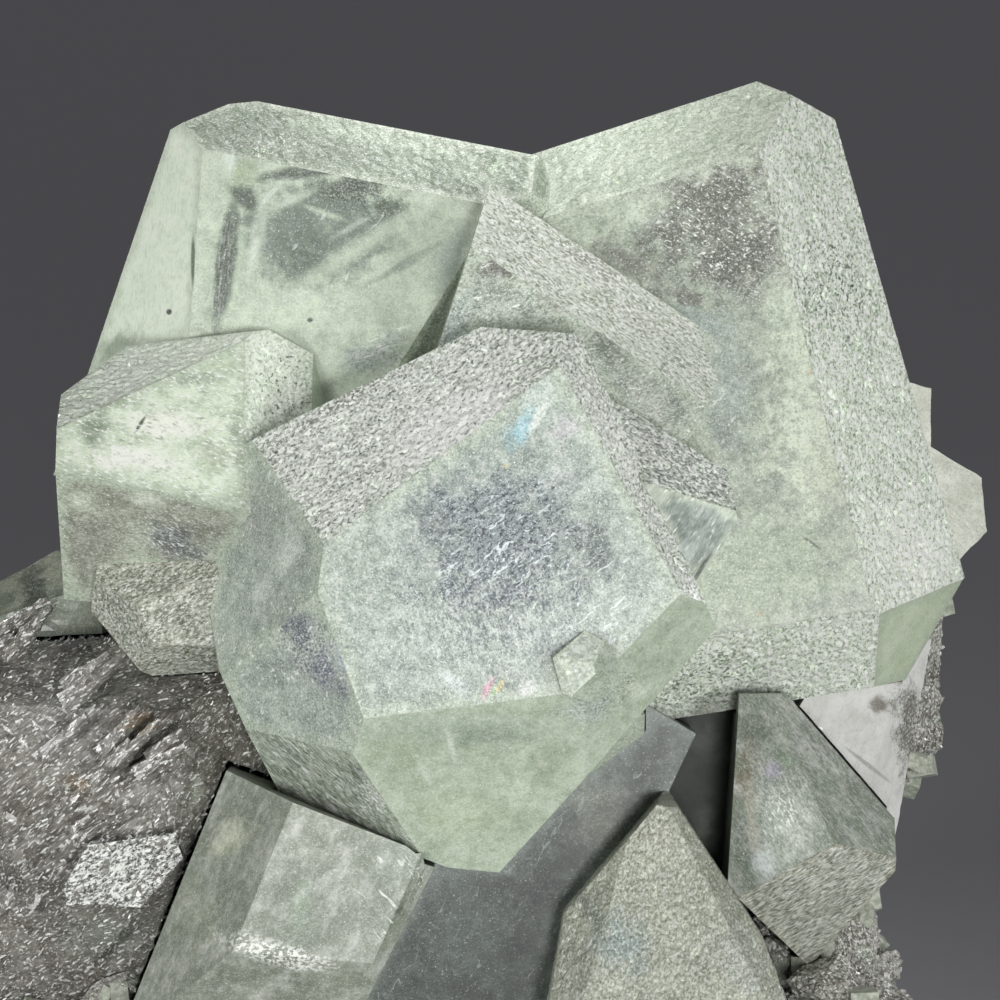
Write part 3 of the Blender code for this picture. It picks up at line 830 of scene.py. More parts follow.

# %% [markdown]
# ## Right cube
# The largest cube has a dark window at the top, where one looks past the haze into the crystal, with
# short white glints painted in it. A pale green cloud and a blue grey one hang beside each other lower
# down. Its right bevel is frosted, with dark pits at the top and white scales below, whose sparkle is
# painted.

# %% Right cube: window, clouds and frosted bevels
window = Patch(722, 225, 92, 92, -12, soft=0.5)
right_haze = painted("right_cube_haze", 4, (150, 161, 146), (200, 214, 189), alpha=(0.86, 0.95),
    clouds=0.6, coat=0.5, border=(2.0, MILK_GREEN), layers=(
    Patch(715, 225, 96, 92, -12, (104, 103, 95), 0.72, soft=0.7, ragged=1.8),
    Patch(738, 262, 55, 44, 0, (84, 82, 76), 0.72, soft=0.8, ragged=1.2),
    Patch(628, 262, 52, 20, -28, (124, 124, 114), 0.85, ragged=1.8),
    Patch(590, 182, 44, 20, 20, (140, 144, 132), ragged=1.2, soft=0.6),
    Patch(640, 205, 44, 28, 30, (204, 215, 194), 0.95, ragged=1.6),
    Patch(612, 225, 26, 14, 0, MILK_GREEN, ragged=1.6),
    Patch(765, 345, 90, 30, -15, PALE_GREEN, 0.95, soft=0.6),
    Patch(800, 430, 52, 160, 6, (232, 243, 217), 1.0, ragged=1.8),
    # painted glow of light gathering beside the right bevel
    Patch(800, 350, 34, 30, 0, GLOWING_GREEN, ragged=1.3, soft=0.6),
    Patch(826, 470, 26, 60, 10, (216, 226, 196), ragged=1.6),
    Patch(730, 380, 36, 94, 5, (172, 184, 176), 0.95, ragged=1.6),
    Patch(722, 428, 20, 30, 0, (146, 158, 152), ragged=1.6),
    Patch(700, 320, 40, 16, -30, (168, 184, 176), soft=0.6),
    Patch(690, 300, 16, 9, 0, SMOKE, soft=0.6),
    Patch(760, 575, 120, 62, 12, LEAF_GREEN, 0.95, soft=0.6),
    Patch(700, 610, 60, 26, 8, PALE_GREEN, 0.95, soft=0.6),
    Patch(812, 543, 16, 2, -35, DARK_PIT, ragged=0.1, soft=0.6),
    Patch(760, 613, 6, 5, 20, (214, 196, 158)),
    Patch(810, 372, 4, 4, 0, (216, 196, 160)),
    Sugar(1.6, 0.5, dark=(128, 138, 124), light=GLOWING_GREEN), Sugar(0.6, 0.5, dark=(134, 142, 128)),
    Sugar(0.15, 0.6, dark=MOSS), Specks(0.12, 0.38, WHITE, 0.95),
    Specks(0.5, 0.28, WHITE, 0.9, 1.6, 40, window, curled=0.04),
    # painted glints: white specks in the window
    Specks(0.17, 0.44, WHITE, 1.0, 2.2, -30, window), Specks(0.2, 0.30, WHITE, 0.9, 2.0, 20, window),
    Specks(0.7, 0.22, WHITE, 0.7, 2.2, 60, Patch(740, 400, 90, 160, 0, soft=0.6), curled=0.04),
    Specks(0.16, 0.42, (226, 232, 214), 0.9, 1.2, 0, Patch(700, 580, 90, 60, 0, soft=0.6))))
right_frost = painted("right_cube_frosting", 0, (214, 227, 203), (238, 248, 229), roughness=0.32,
    bump=0.35, border=(0.8, MILK_GREEN), layers=(
    Sugar(0.9, 0.35, dark=(166, 176, 158)), Sugar(0.18, 1.5, 1.3, 75, dark=(118, 134, 112)),
    Specks(0.27, 0.60, (52, 66, 50), 1.0, 1.2, 70, Patch(834, 280, 66, 90, 10)),
    Specks(0.16, 0.36, DARK_PIT, 0.8, 1.3, 75, Patch(825, 240, 80, 160, 8, soft=0.8)),
    Specks(0.24, 0.70, WHITE, 1.0, 1.3, 75),
    # painted sparkle of the white scales on the lower bevel
    Specks(0.22, 0.80, WHITE, 1.0, 2.6, 12, Patch(915, 555, 66, 90, 10, soft=0.8)),
    Specks(0.22, 0.50, DARK_PIT, 0.9, 1.5, 20, Patch(705, 680, 90, 40, 10, soft=0.6))))
right_mist = painted("right_cube_fine_frosting", 0, (190, 202, 180), (212, 223, 201), bump=0.2,
    border=(0.6, MILK_GREEN), layers=(
    Sugar(0.9, 0.3, dark=GREY_GREEN), Sugar(0.16, 1.1, dark=(146, 160, 138)),
    Specks(0.12, 0.28, WHITE, 0.8)))
right_green = painted("right_cube_smooth_green", 2, (196, 210, 178), (212, 225, 198), roughness=0.3,
    clouds=0.35, bump=0.15, border=(0.8, PALE_GREEN), layers=(
    Sugar(0.8, 0.15, dark=MOSS), Sugar(0.15, 0.25), Specks(0.14, 0.24, WHITE, 0.6)))

# %% [markdown]
# ## Left cube
# An earlier, smaller shape of this cube shows inside it as a dark, finely striped band: a phantom.
# Pale streaks of haze cross the window that it frames. The left slope is smooth and bright.

# %% Left cube: phantom band, pale streaks and needle cloud
BAND = (92, 102, 93)
left_haze = painted("left_cube_haze", 6, (188, 202, 180), (212, 225, 202), alpha=(0.93, 0.97), coat=0.5,
    clouds=0.35, border=(1.2, MILK_GREEN), layers=(
    Patch(318, 232, 96, 60, 14, (124, 138, 127), 0.85, soft=0.45, ragged=0.9),
    Patch(304, 252, 38, 32, 0, (108, 119, 108), 0.8, ragged=1.2),
    Patch(352, 188, 62, 20, 6, (76, 86, 78), 0.8, soft=0.8, ragged=1.4),
    Patch(390, 205, 30, 14, 10, DARK_PIT, ragged=1.5, soft=0.6),
    Patch(226, 262, 13, 88, -8, BAND, soft=0.5, ragged=0.4),
    Patch(244, 196, 14, 30, 40, BAND, soft=0.6, ragged=0.5),
    Patch(312, 170, 70, 10, 8, BAND, soft=0.5, ragged=0.4),
    Patch(240, 172, 26, 18, 30, LEAF_GREEN, soft=0.6),
    Patch(322, 212, 34, 5, -20, (206, 217, 196), ragged=0.8),
    Patch(254, 250, 9, 52, -8, (226, 236, 220), ragged=0.6),
    Patch(292, 200, 40, 7, 24, (214, 224, 206), ragged=0.7),
    Patch(262, 224, 8, 40, -6, (206, 218, 200), ragged=0.7),
    Patch(350, 228, 34, 5, 30, (190, 202, 186), ragged=0.7),
    Patch(230, 158, 10, 34, -8, (228, 239, 225), ragged=0.8),
    Patch(290, 300, 40, 8, 10, (206, 216, 198), ragged=0.8),
    Patch(270, 195, 4, 24, -40, (226, 234, 220), ragged=0.8, soft=0.6),
    Patch(352, 252, 100, 14, 32, (202, 214, 192), ragged=0.8),
    Patch(375, 296, 100, 14, 30, (200, 212, 191), ragged=0.8),
    Patch(408, 262, 60, 6, 30, GREY_GREEN, ragged=0.6, soft=0.6),
    Patch(372, 357, 44, 26, 15, (172, 182, 174), ragged=1.6),
    Patch(450, 262, 26, 50, -20, (172, 184, 170), soft=0.8),
    Patch(310, 320, 4, 3, 0, DEEP_SMOKE, ragged=0.1, soft=0.6),
    Patch(193, 265, 2, 32, 0, DARK_PIT, ragged=0.1, soft=0.6),
    Sugar(1.5, 0.35, dark=(140, 150, 136), light=GLOWING_GREEN), Sugar(0.6, 0.25, dark=(140, 150, 136)),
    Sugar(0.16, 0.55, 7.0, 82, region=Patch(222, 268, 15, 84, -8, soft=0.6)),
    Sugar(0.16, 0.40, 6.0, 12, region=Patch(290, 174, 60, 12, 12, soft=0.6)),
    Sugar(0.15, 0.35, dark=MOSS),
    Sugar(0.15, 0.60, 1.6, 20, region=Patch(378, 355, 52, 34, 15, soft=0.8)),
    Sugar(0.16, 1.1, region=Patch(370, 186, 76, 24, 8, soft=0.8)), Specks(0.12, 0.30, WHITE, 0.9),
    Specks(0.6, 0.16, WHITE, 0.6, 2.5, 60, Patch(320, 235, 110, 84, 0, soft=0.6), curled=0.03),
    Specks(0.5, 0.36, WHITE, 0.8, 3.0, 25, Patch(385, 350, 66, 36, 0, soft=0.6), curled=0.05)))
left_green = painted("left_cube_smooth_green", 3, (234, 249, 225), (246, 255, 236), roughness=0.25,
    coat=0.5, clouds=0.3, border=(0.8, MILK_GREEN), layers=(
    Patch(171, 313, 4, 4, 0, DEEP_SMOKE, ragged=0.1, soft=0.6),
    Patch(196, 262, 3, 34, 0, MOSS, ragged=0.1, soft=0.6),
    Patch(120, 350, 30, 24, 30, PALE_GREEN, soft=0.6),
    Sugar(1.0, 0.22, dark=GREY_GREEN), Sugar(0.16, 0.2, 3.0, 80), Specks(0.12, 0.22, WHITE, 0.7)))
left_mist = painted("left_cube_fine_frosting", 3, (118, 132, 111), (150, 164, 141), clouds=0.4, bump=0.2,
    border=(0.6, MILK_GREEN), layers=(
    Patch(380, 138, 120, 10, -12, (182, 196, 171), soft=0.6),
    Sugar(0.8, 0.35, dark=GREY_GREEN), Sugar(0.15, 1.3, 1.2, dark=(140, 154, 132)),
    Specks(0.12, 0.30, WHITE, 0.9),
    Specks(0.20, 0.45, WHITE, 0.95, 7.0, 78, Patch(265, 148, 60, 20, 0, soft=0.6))))

# %% [markdown]
# ## Middle and front cube
# The middle cube is greyer and stands between its neighbours. The front cube holds a blue grey cloud
# of fine needles, and its thin healed cracks split light into small spots of colour, which are laid
# in as patches. Its upper bevels are sugary and its lower ones are smooth and green.

# %% Middle cube
middle_haze = painted("middle_cube_haze", 11, (118, 127, 116), (158, 167, 155), coat=0.5, bump=0.15,
    border=(1.2, PALE_GREEN), layers=(
    Patch(500, 268, 30, 13, 15, SMOKE, ragged=1.3, soft=0.6),
    Patch(455, 330, 18, 50, -15, (150, 164, 158), soft=0.8),
    Patch(500, 310, 40, 26, 20, (176, 186, 175), ragged=1.4),
    Patch(560, 300, 34, 16, -20, (140, 142, 130), soft=0.8, ragged=1.3),
    Patch(606, 345, 30, 40, 20, (112, 120, 104), soft=0.8, ragged=1.3),
    Patch(650, 400, 24, 40, 30, (172, 178, 164), soft=0.8),
    Sugar(0.6, 0.40, dark=MOSS), Sugar(0.14, 0.8, 1.5, 20), Specks(0.12, 0.36, WHITE, 0.95),
    Specks(0.6, 0.26, WHITE, 0.8, 2.4, 20, curled=0.04)))
middle_mist = painted("middle_cube_fine_frosting", 9, (190, 199, 180), (220, 228, 210), roughness=0.33,
    bump=0.3, border=(0.6, MILK_GREEN), layers=(
    Patch(640, 320, 46, 14, -38, (206, 210, 196), soft=0.8),
    Patch(590, 262, 44, 16, -34, (172, 175, 162), soft=0.8, ragged=1.3),
    Sugar(0.8, 0.3, dark=MOSS), Sugar(0.17, 1.2, 2.0, -38, dark=(126, 136, 116)),
    Specks(0.15, 0.40, (108, 116, 102), 0.85, 1.8, -38), Specks(0.16, 0.70, WHITE, 1.0, 1.8, -38)))

# %% Front cube: dark needle cloud, rainbow cracks and sugar frosting
needle_cloud = Patch(508, 548, 122, 98, -8, ragged=1.2)
front_haze = painted("front_cube_haze", 18, (152, 165, 154), (186, 199, 186), coat=0.5, clouds=0.6,
    bump=0.15, border=(1.2, PALE_GREEN), layers=(
    Patch(505, 548, 136, 96, -8, (98, 112, 114), ragged=1.6),
    Patch(500, 578, 80, 46, 0, (50, 62, 74), ragged=2.2),
    Patch(436, 520, 36, 42, 30, (64, 76, 86), ragged=2.2),
    Patch(588, 548, 46, 38, -30, (72, 84, 80), ragged=2.2),
    Patch(505, 480, 70, 22, 10, (150, 164, 156), ragged=1.4),
    Patch(370, 580, 60, 90, 0, (168, 182, 168), ragged=1.4),
    Patch(560, 480, 34, 30, 0, (178, 188, 180)),
    Patch(420, 650, 80, 40, 20, (170, 184, 172)),
    Patch(560, 640, 60, 40, 0, (176, 188, 180), ragged=1.3),
    Patch(450, 735, 160, 40, 0, PALE_GREEN),
    Patch(538, 396, 22, 36, -30, (206, 220, 208), soft=0.8),
    Patch(500, 532, 96, 80, 20, (96, 108, 116), 0.45, ragged=1.6),
    Patch(520, 430, 14, 30, -38, (156, 204, 214), ragged=1.4, soft=0.8),
    Patch(540, 414, 6, 26, -30, (226, 236, 226), soft=0.6),
    Patch(565, 428, 24, 14, 30, (202, 196, 202), ragged=1.8),
    Patch(506, 466, 7, 4, 10, (210, 208, 166)),
    Patch(488, 688, 6, 15, -28, (228, 164, 186), ragged=0.8, soft=0.8),
    Patch(495, 690, 5, 14, -28, (184, 220, 164), ragged=0.8, soft=0.8),
    Patch(500, 686, 4, 12, -28, (238, 220, 150), ragged=0.8, soft=0.8),
    Patch(527, 689, 14, 10, 20, WHITE, ragged=0.6, soft=0.6),
    Patch(456, 684, 28, 9, -38, (228, 238, 232), ragged=0.6, soft=0.8),
    Sugar(1.4, 0.5, dark=(120, 132, 126)), Sugar(0.6, 0.5, dark=(120, 132, 126)), Sugar(0.14, 0.6),
    Sugar(0.24, 1.9, 1.8, 35, light=(160, 172, 174), dark=(36, 46, 56), region=needle_cloud),
    Sugar(0.17, 0.9, 1.8, 110, dark=(84, 96, 108), region=Patch(500, 610, 190, 110, 0)),
    Specks(0.12, 0.34, WHITE, 0.9),
    Specks(0.4, 0.50, (226, 236, 234), 0.95, 2.4, 35, needle_cloud, curled=0.05),
    Specks(0.4, 0.30, (236, 242, 240), 0.8, 2.8, 70, Patch(520, 600, 180, 130, 0, soft=0.7), curled=0.04),
    Specks(0.5, 0.42, (236, 244, 240), 0.85, 5.0, 35, Patch(610, 600, 70, 60, 30, soft=0.6), curled=0.04)))
front_left_haze = painted("front_cube_left_haze", 13, (150, 162, 152), (186, 198, 184), coat=0.5,
    bump=0.15, border=(1.2, PALE_GREEN), layers=(
    Patch(255, 510, 66, 44, 30, (152, 160, 150)),
    Patch(288, 556, 18, 34, -15, (220, 230, 218), ragged=1.6),
    Patch(262, 590, 12, 30, -30, (206, 216, 204), ragged=1.6),
    Patch(300, 625, 30, 22, -52, (96, 104, 116), ragged=1.8),
    Patch(330, 668, 40, 20, -50, (112, 118, 132), ragged=1.8),
    Patch(345, 655, 22, 18, -40, (190, 200, 218), ragged=1.6),
    Sugar(0.7, 0.45, dark=(120, 132, 124)), Sugar(0.14, 0.65),
    Sugar(0.18, 1.1, 1.6, 30, dark=(84, 90, 104), region=Patch(316, 650, 76, 44, -48)),
    Specks(0.12, 0.36, WHITE, 0.9), Specks(0.5, 0.26, WHITE, 0.8, 2.6, 40, curled=0.04)))
front_frost = painted("front_cube_frosting", 14, (194, 201, 190), (224, 230, 220), roughness=0.3,
    bump=0.4, border=(0.8, PALE_GREEN), layers=(
    Patch(250, 476, 60, 36, 34, (172, 178, 166)),
    Patch(340, 402, 120, 14, 32, (150, 152, 141), ragged=0.8),
    Patch(540, 370, 60, 26, 10, (186, 196, 178)),
    Patch(455, 425, 70, 34, 28, (226, 228, 224)),
    Sugar(0.8, 0.2, dark=MOSS), Sugar(0.18, 1.5, 1.2, 30, dark=(112, 122, 110)),
    # dark pits, and white specks that paint the sparkle of the sugary grains
    Specks(0.22, 0.46, (84, 92, 82), 0.95, 1.2, 30), Specks(0.22, 0.76, WHITE, 1.0, 1.2, 30),
    Specks(0.26, 0.85, WHITE, 1.0, 1.1, 30, Patch(450, 425, 90, 42, 28, soft=0.7))))
front_mist = painted("front_cube_fine_frosting", 12, (154, 166, 148), (184, 196, 174), roughness=0.3,
    bump=0.25, border=(0.8, PALE_GREEN), layers=(
    Patch(345, 735, 10, 20, -50, WHITE, soft=0.6),
    Patch(320, 700, 16, 24, -50, (126, 138, 120), ragged=1.4),
    Patch(360, 770, 16, 30, -50, (130, 142, 124), ragged=1.4),
    Sugar(0.7, 0.6, 1.6, -52, dark=MOSS), Sugar(0.16, 1.0, 4.0, -52),
    Specks(0.14, 0.34, WHITE, 0.9, 2.0, -52),
    Specks(0.20, 0.60, WHITE, 1.0, 1.6, -50, Patch(374, 795, 20, 34, -10, soft=0.6)),
    Specks(0.6, 0.32, WHITE, 0.9, 3.5, -50, curled=0.04)))
front_green = painted("front_cube_smooth_green", 14, (168, 182, 156), (188, 201, 178), roughness=0.28,
    coat=0.5, clouds=0.35, bump=0.15, border=(1.2, PALE_GREEN), layers=(
    Patch(460, 725, 150, 22, 0, (172, 186, 168)),
    Patch(460, 815, 60, 40, 0, (190, 204, 176)),
    Patch(540, 770, 60, 24, 40, (166, 178, 154)),
    Patch(590, 700, 46, 34, 40, (176, 188, 176)),
    Patch(640, 690, 20, 14, 20, MILK_GREEN),
    Patch(452, 744, 5, 34, 14, (206, 216, 200), ragged=1.2),
    Patch(425, 770, 5, 30, 24, (200, 212, 192), ragged=1.2),
    Patch(490, 735, 60, 16, 0, (150, 164, 146), ragged=1.6),
    Patch(520, 790, 30, 30, 0, (196, 210, 186), ragged=1.4),
    Sugar(0.9, 0.35, dark=MOSS), Sugar(0.15, 0.3), Sugar(0.16, 0.9, region=Patch(600, 690, 60, 44, 20)),
    Specks(0.12, 0.28, WHITE, 0.8)))

# %% [markdown]
# ## Small cubes, lobe and buds
# The small cube at the left has a painted glow where light gathers in it, over a brownish foot.
# The rounded lobe under it, the clear cube at the right and three buds are frosted in the same way as the
# large ones.

# %% Left small cube and lobe
small_haze = painted("left_small_cube_haze", 11, (204, 218, 191), (232, 243, 220), roughness=0.3,
    coat=0.5, border=(0.8, PALE_GREEN), layers=(
    Patch(196, 378, 50, 12, 0, (172, 185, 164), ragged=1.6),
    Patch(236, 440, 12, 34, 0, (160, 172, 150), ragged=1.6),
    Patch(110, 400, 46, 16, 0, (168, 184, 158), ragged=1.4),
    # painted glow: near-white patches where light gathers in the small cube
    Patch(170, 424, 64, 20, -8, (246, 250, 236), soft=0.8, ragged=1.5),
    Patch(130, 458, 70, 20, -8, (246, 250, 238), soft=0.8, ragged=1.5),
    Patch(92, 430, 22, 26, 0, (146, 160, 138), ragged=1.6),
    Patch(215, 455, 26, 24, 0, (190, 200, 176), ragged=1.4),
    Patch(140, 424, 2.5, 14, -32, DARK_PIT, ragged=0.1, soft=0.6),
    Sugar(0.8, 0.35, 1.5, -15, dark=MOSS), Sugar(0.15, 0.25, 1.5, dark=MOSS),
    Specks(0.3, 0.35, (140, 154, 130), 0.7, 2.4, -20), Specks(0.16, 0.50, WHITE, 0.95, 2.4, -20)))
small_low_haze = painted("left_small_cube_low_haze", 8, (138, 142, 126), (172, 180, 162), roughness=0.3,
    border=(0.8, PALE_GREEN), layers=(
    Patch(95, 545, 44, 45, 0, (146, 148, 134)),
    Patch(180, 548, 44, 32, -40, (100, 106, 106), ragged=1.6),
    Patch(85, 500, 24, 16, 0, (196, 204, 184)),
    Patch(150, 500, 30, 10, 0, (206, 214, 196)),
    Sugar(0.6, 0.35, 2.0, -42, dark=(96, 100, 86)), Sugar(0.15, 0.5, 1.5),
    Specks(0.15, 0.42, WHITE, 0.85, 9.0, -44, Patch(182, 540, 66, 52, -40, soft=0.6)),
    Specks(0.12, 0.34, WHITE, 0.8)))
small_frost = painted("left_small_cube_frosting", 9, (236, 247, 226), (248, 254, 240), roughness=0.33,
    bump=0.35, border=(0.6, MILK_GREEN), layers=(
    Sugar(0.8, 0.2, dark=GREY_GREEN), Sugar(0.18, 1.2, 1.3, 15, dark=(166, 180, 158)),
    Specks(0.24, 0.44, (84, 98, 80), 1.0, 1.2, 40, Patch(283, 388, 36, 48, 0, soft=0.4)),
    Specks(0.20, 0.55, WHITE, 1.0)))
small_green = painted("left_small_cube_green", 9, (196, 210, 184), (212, 224, 201), roughness=0.25,
    border=(0.6, PALE_GREEN), layers=(
    Sugar(0.8, 0.2, dark=MOSS), Sugar(0.15, 0.15), Specks(0.12, 0.25, WHITE, 0.7)))
lobe_finish = painted("lobe_frosting", 9, (134, 138, 120), (176, 181, 163), roughness=0.33, clouds=0.7,
    bump=0.4, border=(0.8, BEIGE), layers=(
    Sugar(0.6, 0.35, dark=(104, 106, 90)), Sugar(0.19, 1.3, 1.8, 30),
    Specks(0.16, 0.40, WHITE, 0.95, 1.6, 30), Specks(0.6, 0.30, WHITE, 0.8, 2.4, 30, curled=0.04)))

# %% Right small cube and buds
clear_haze = painted("right_small_cube_haze", 17, (128, 141, 133), (160, 172, 163), alpha=(0.75, 0.95),
    roughness=0.25, border=(0.5, MILK_GREEN), layers=(
    Patch(684, 556, 30, 14, 55, (198, 209, 201), ragged=0.8, soft=0.7),
    Patch(700, 572, 40, 3, 58, (96, 106, 96), ragged=0.5, soft=0.6),
    Patch(716, 560, 30, 3, 62, (110, 120, 108), ragged=0.5, soft=0.6),
    Sugar(0.5, 0.4, 2.5, 55, dark=(120, 132, 126)), Sugar(0.16, 0.3, 4.0, 55),
    Specks(0.16, 0.34, WHITE, 0.95, 5.0, 55)))
clear_frost = painted("right_small_cube_frosting", 15, (170, 178, 168), (206, 213, 203), roughness=0.28,
    bump=0.4, border=(0.5, PALE_GREEN), layers=(
    Sugar(0.6, 0.35, dark=(110, 116, 106)), Sugar(0.20, 1.9, 1.3, -30, dark=(116, 124, 114)),
    Specks(0.20, 0.40, (70, 76, 68), 0.95, 1.4, -30), Specks(0.22, 0.64, WHITE, 1.0, 1.4, -30)))
bud_finish = painted("bud_frosting", 13, (166, 175, 158), (204, 211, 194), roughness=0.33, bump=0.35,
    border=(0.5, PALE_GREEN), layers=(
    Sugar(0.6, 0.3, dark=MOSS), Sugar(0.16, 1.0), Specks(0.14, 0.36, WHITE, 0.9)))
white_bud_finish = painted("white_bud_frosting", 19, (190, 200, 186), (226, 232, 222), bump=0.35,
    border=(0.5, MILK_GREEN), layers=(
    Sugar(0.5, 0.35, dark=(126, 138, 120)), Sugar(0.17, 0.5), Specks(0.2, 0.4, WHITE, 0.9)))

# %% [markdown]
# ## Skins
# Frosting is a fine net with real relief, so that it breaks the light at the crystal's edges too. A
# haze only needs a coarse net. Each skin reaches a little over the face's edge and meets the next.

# %% Skins of the upper crystals
SKINS = {
    # finish: (mm between net points, mm off the face, mm of relief, relief's waves per mm, mm over the edge)
    "frost": (0.24, 0.04, 0.10, 1.5, 0.03),
    "mist": (0.32, 0.03, 0.06, 1.2, 0.03),
    "haze": (1.0, 0.02, 0.0, 0.5, 0.02),
    "green": (1.0, 0.02, 0.0, 0.5, 0.02),
    "low_haze": (1.0, 0.02, 0.0, 0.5, 0.02),
}
FINISHES = {
    "right_cube": {"haze": right_haze, "frost": right_frost, "mist": right_mist, "green": right_green},
    "left_cube": {"haze": left_haze, "green": left_green, "mist": left_mist},
    "middle_cube": {"haze": middle_haze, "mist": middle_mist},
    "front_cube": {"haze": front_haze, "low_haze": front_left_haze, "frost": front_frost, "mist": front_mist,
                   "green": front_green},
    "left_small_cube": {"haze": small_haze, "low_haze": small_low_haze, "frost": small_frost,
                        "green": small_green},
    "left_lobe": {"mist": lobe_finish},
    "right_small_cube": {"haze": clear_haze, "frost": clear_frost},
    "upper_bud": {"haze": bud_finish, "mist": bud_finish},
    "white_bud": {"frost": white_bud_finish},
    "lower_bud": {"mist": bud_finish},
}


def dress(bm, table, finishes):
    """Lay every crystal's finishes on its faces, as one mesh for each crystal and finish."""
    for seed, (crystal, (middle, planes)) in enumerate(table.items()):
        for finish in sorted({plane[3] for plane in planes}):
            faces = [face for face in bm.faces if finish_of(face, {crystal: (middle, planes)}) == finish]
            if not faces:
                print(crystal, "has no face for", finish)
                continue
            name = crystal + "_" + finish
            carried(name, skin(name, faces, *SKINS[finish], seed), finishes[crystal][finish])


dress(upper_faces, UPPER_FACES, FINISHES)

# %% Sides and backs of the upper crystals
REST_SEED = 99


def dress_rest(name, bm, table, finish):
    """Lay one finish on all the faces that the table leaves out: narrow edges, sides and backs."""
    faces = [face for face in bm.faces if finish_of(face, table) == "glass"]
    carried(name, skin(name, faces, *SKINS["haze"], REST_SEED), finish)


upper_rest = painted("upper_sides", 0, (178, 192, 170), (208, 220, 199), alpha=(0.88, 0.97),
    roughness=0.2, coat=1.0, clouds=0.4, layers=(
    Sugar(0.9, 0.4, dark=GREY_GREEN), Sugar(0.15, 0.5), Specks(0.14, 0.34, WHITE, 0.9)))
dress_rest("upper_sides", upper_faces, UPPER_FACES, upper_rest)

# %% [markdown]
# ## The lower row
# Grey and slate green blocks stand under the large cubes. They are cloudier than the upper ones, so
# their clear body is greyer and their skins cover more.

# %% Finishes of the lower row
LOWER_FACES = {
    "grey_block": ((-9.3, -21.9, 4.0), (
        (0, 0, 9.0, "haze"), (-24, 50, 8.4, "haze"), (158, 52, 8.5, "haze"), (-95, 40, 8.5, "haze"),
        (69, 90, 4.8, "haze"), (158, 90, 7.8, "haze"), (-27, 90, 4.1, "haze"))),
    "slate_green_block": ((1.1, -22.5, -4.0), (
        (-60, 8, 7.8, "haze"), (0, 0, 9.5, "haze"), (60, 90, 13.2, "haze"), (180, 90, 10.6, "haze"),
        (-25, 90, 4.6, "haze"), (-90, 90, 11.5, "haze"))),
    "sandy_block": ((9.4, -23.7, 2.0), (
        (100, 10, 7.0, "frost"), (0, 0, 8.5, "frost"), (35, 50, 6.7, "frost"), (155, 45, 7.5, "frost"),
        (80, 80, 7.8, "frost"), (140, 90, 5.3, "frost"), (33, 90, 4.0, "frost"), (20, 90, 4.5, "frost"),
        (170, 90, 6.0, "frost"))),
    "clear_block": ((16.8, -18.0, -3.0), (
        (150, 20, 7.8, "haze"), (0, 0, 9.5, "haze"), (41, 45, 6.7, "haze"), (-70, 45, 7.1, "mist"),
        (176, 90, 4.1, "haze"), (225, 90, 5.3, "haze"), (41, 90, 4.0, "haze"), (0, 90, 4.9, "mist"),
        (-39, 90, 5.3, "mist"), (90, 90, 7.3, "haze"))),
}
grey_haze = painted("grey_block_haze", 13, (128, 136, 121), (160, 167, 151), roughness=0.3, clouds=0.35,
    coat=0.3, bump=0.15, border=(0.7, (150, 158, 142)), layers=(
    Patch(226, 842, 40, 20, 40, (208, 216, 188), ragged=1.4),
    Patch(196, 920, 40, 50, 20, (164, 172, 152), ragged=1.6),
    Patch(300, 905, 14, 34, -15, (156, 172, 150)),
    Patch(395, 915, 4, 18, -40, DARK_PIT, ragged=0.5, soft=0.6),
    Patch(400, 860, 30, 40, -30, (160, 170, 156)),
    Sugar(1.8, 0.6, 2.0, 60, dark=MOSS), Sugar(0.6, 0.35, dark=MOSS), Sugar(0.15, 0.3),
    Specks(0.12, 0.30, WHITE, 0.7),
    Specks(0.22, 0.80, WHITE, 1.0, 1.2, 0, Patch(275, 952, 74, 16, -15, soft=0.6)),
    Specks(0.6, 0.5, WHITE, 0.9, 4.0, -45, Patch(400, 900, 50, 60, 0, soft=0.6), curled=0.03)))
slate_haze = painted("slate_block_haze", 3, (58, 67, 62), (86, 96, 89), roughness=0.3, clouds=0.4,
    coat=0.3, bump=0.15, border=(0.8, (120, 130, 122)), layers=(
    Patch(600, 815, 50, 56, 20, (130, 138, 124)),
    Patch(587, 900, 14, 40, -20, (150, 162, 150), ragged=1.3),
    Patch(690, 760, 60, 50, 20, (84, 92, 84)),
    Patch(470, 930, 60, 50, 0, (78, 89, 83)),
    Sugar(0.9, 0.3, dark=(66, 74, 70), light=(180, 190, 182)), Sugar(0.15, 0.16, dark=(66, 74, 70)),
    Sugar(0.18, 0.5, region=Patch(605, 820, 54, 64, 20), dark=(110, 116, 104)),
    Specks(0.12, 0.26, (214, 222, 212), 0.8),
    Specks(0.6, 0.24, (168, 178, 170), 0.6, 2.6, 60, curled=0.03)))
sandy_frost = painted("sandy_block_frosting", 9, (146, 150, 135), (176, 180, 163), roughness=0.3,
    clouds=0.35, bump=0.2, border=(0.7, (160, 163, 147)), layers=(
    Patch(620, 945, 40, 46, 20, (140, 154, 150), ragged=1.4),
    Patch(655, 835, 40, 40, 0, (166, 168, 152), ragged=1.4),
    Patch(700, 900, 30, 60, -20, (150, 154, 138), ragged=1.6),
    Patch(740, 960, 30, 50, 20, (166, 172, 162), ragged=1.4),
    Patch(588, 905, 16, 60, 26, (120, 128, 116), ragged=1.4),
    Sugar(0.7, 0.2, dark=(126, 130, 112)), Sugar(0.16, 1.0, 1.3, 70, dark=(110, 114, 98)),
    Specks(0.15, 0.24, (226, 228, 216), 0.8)))
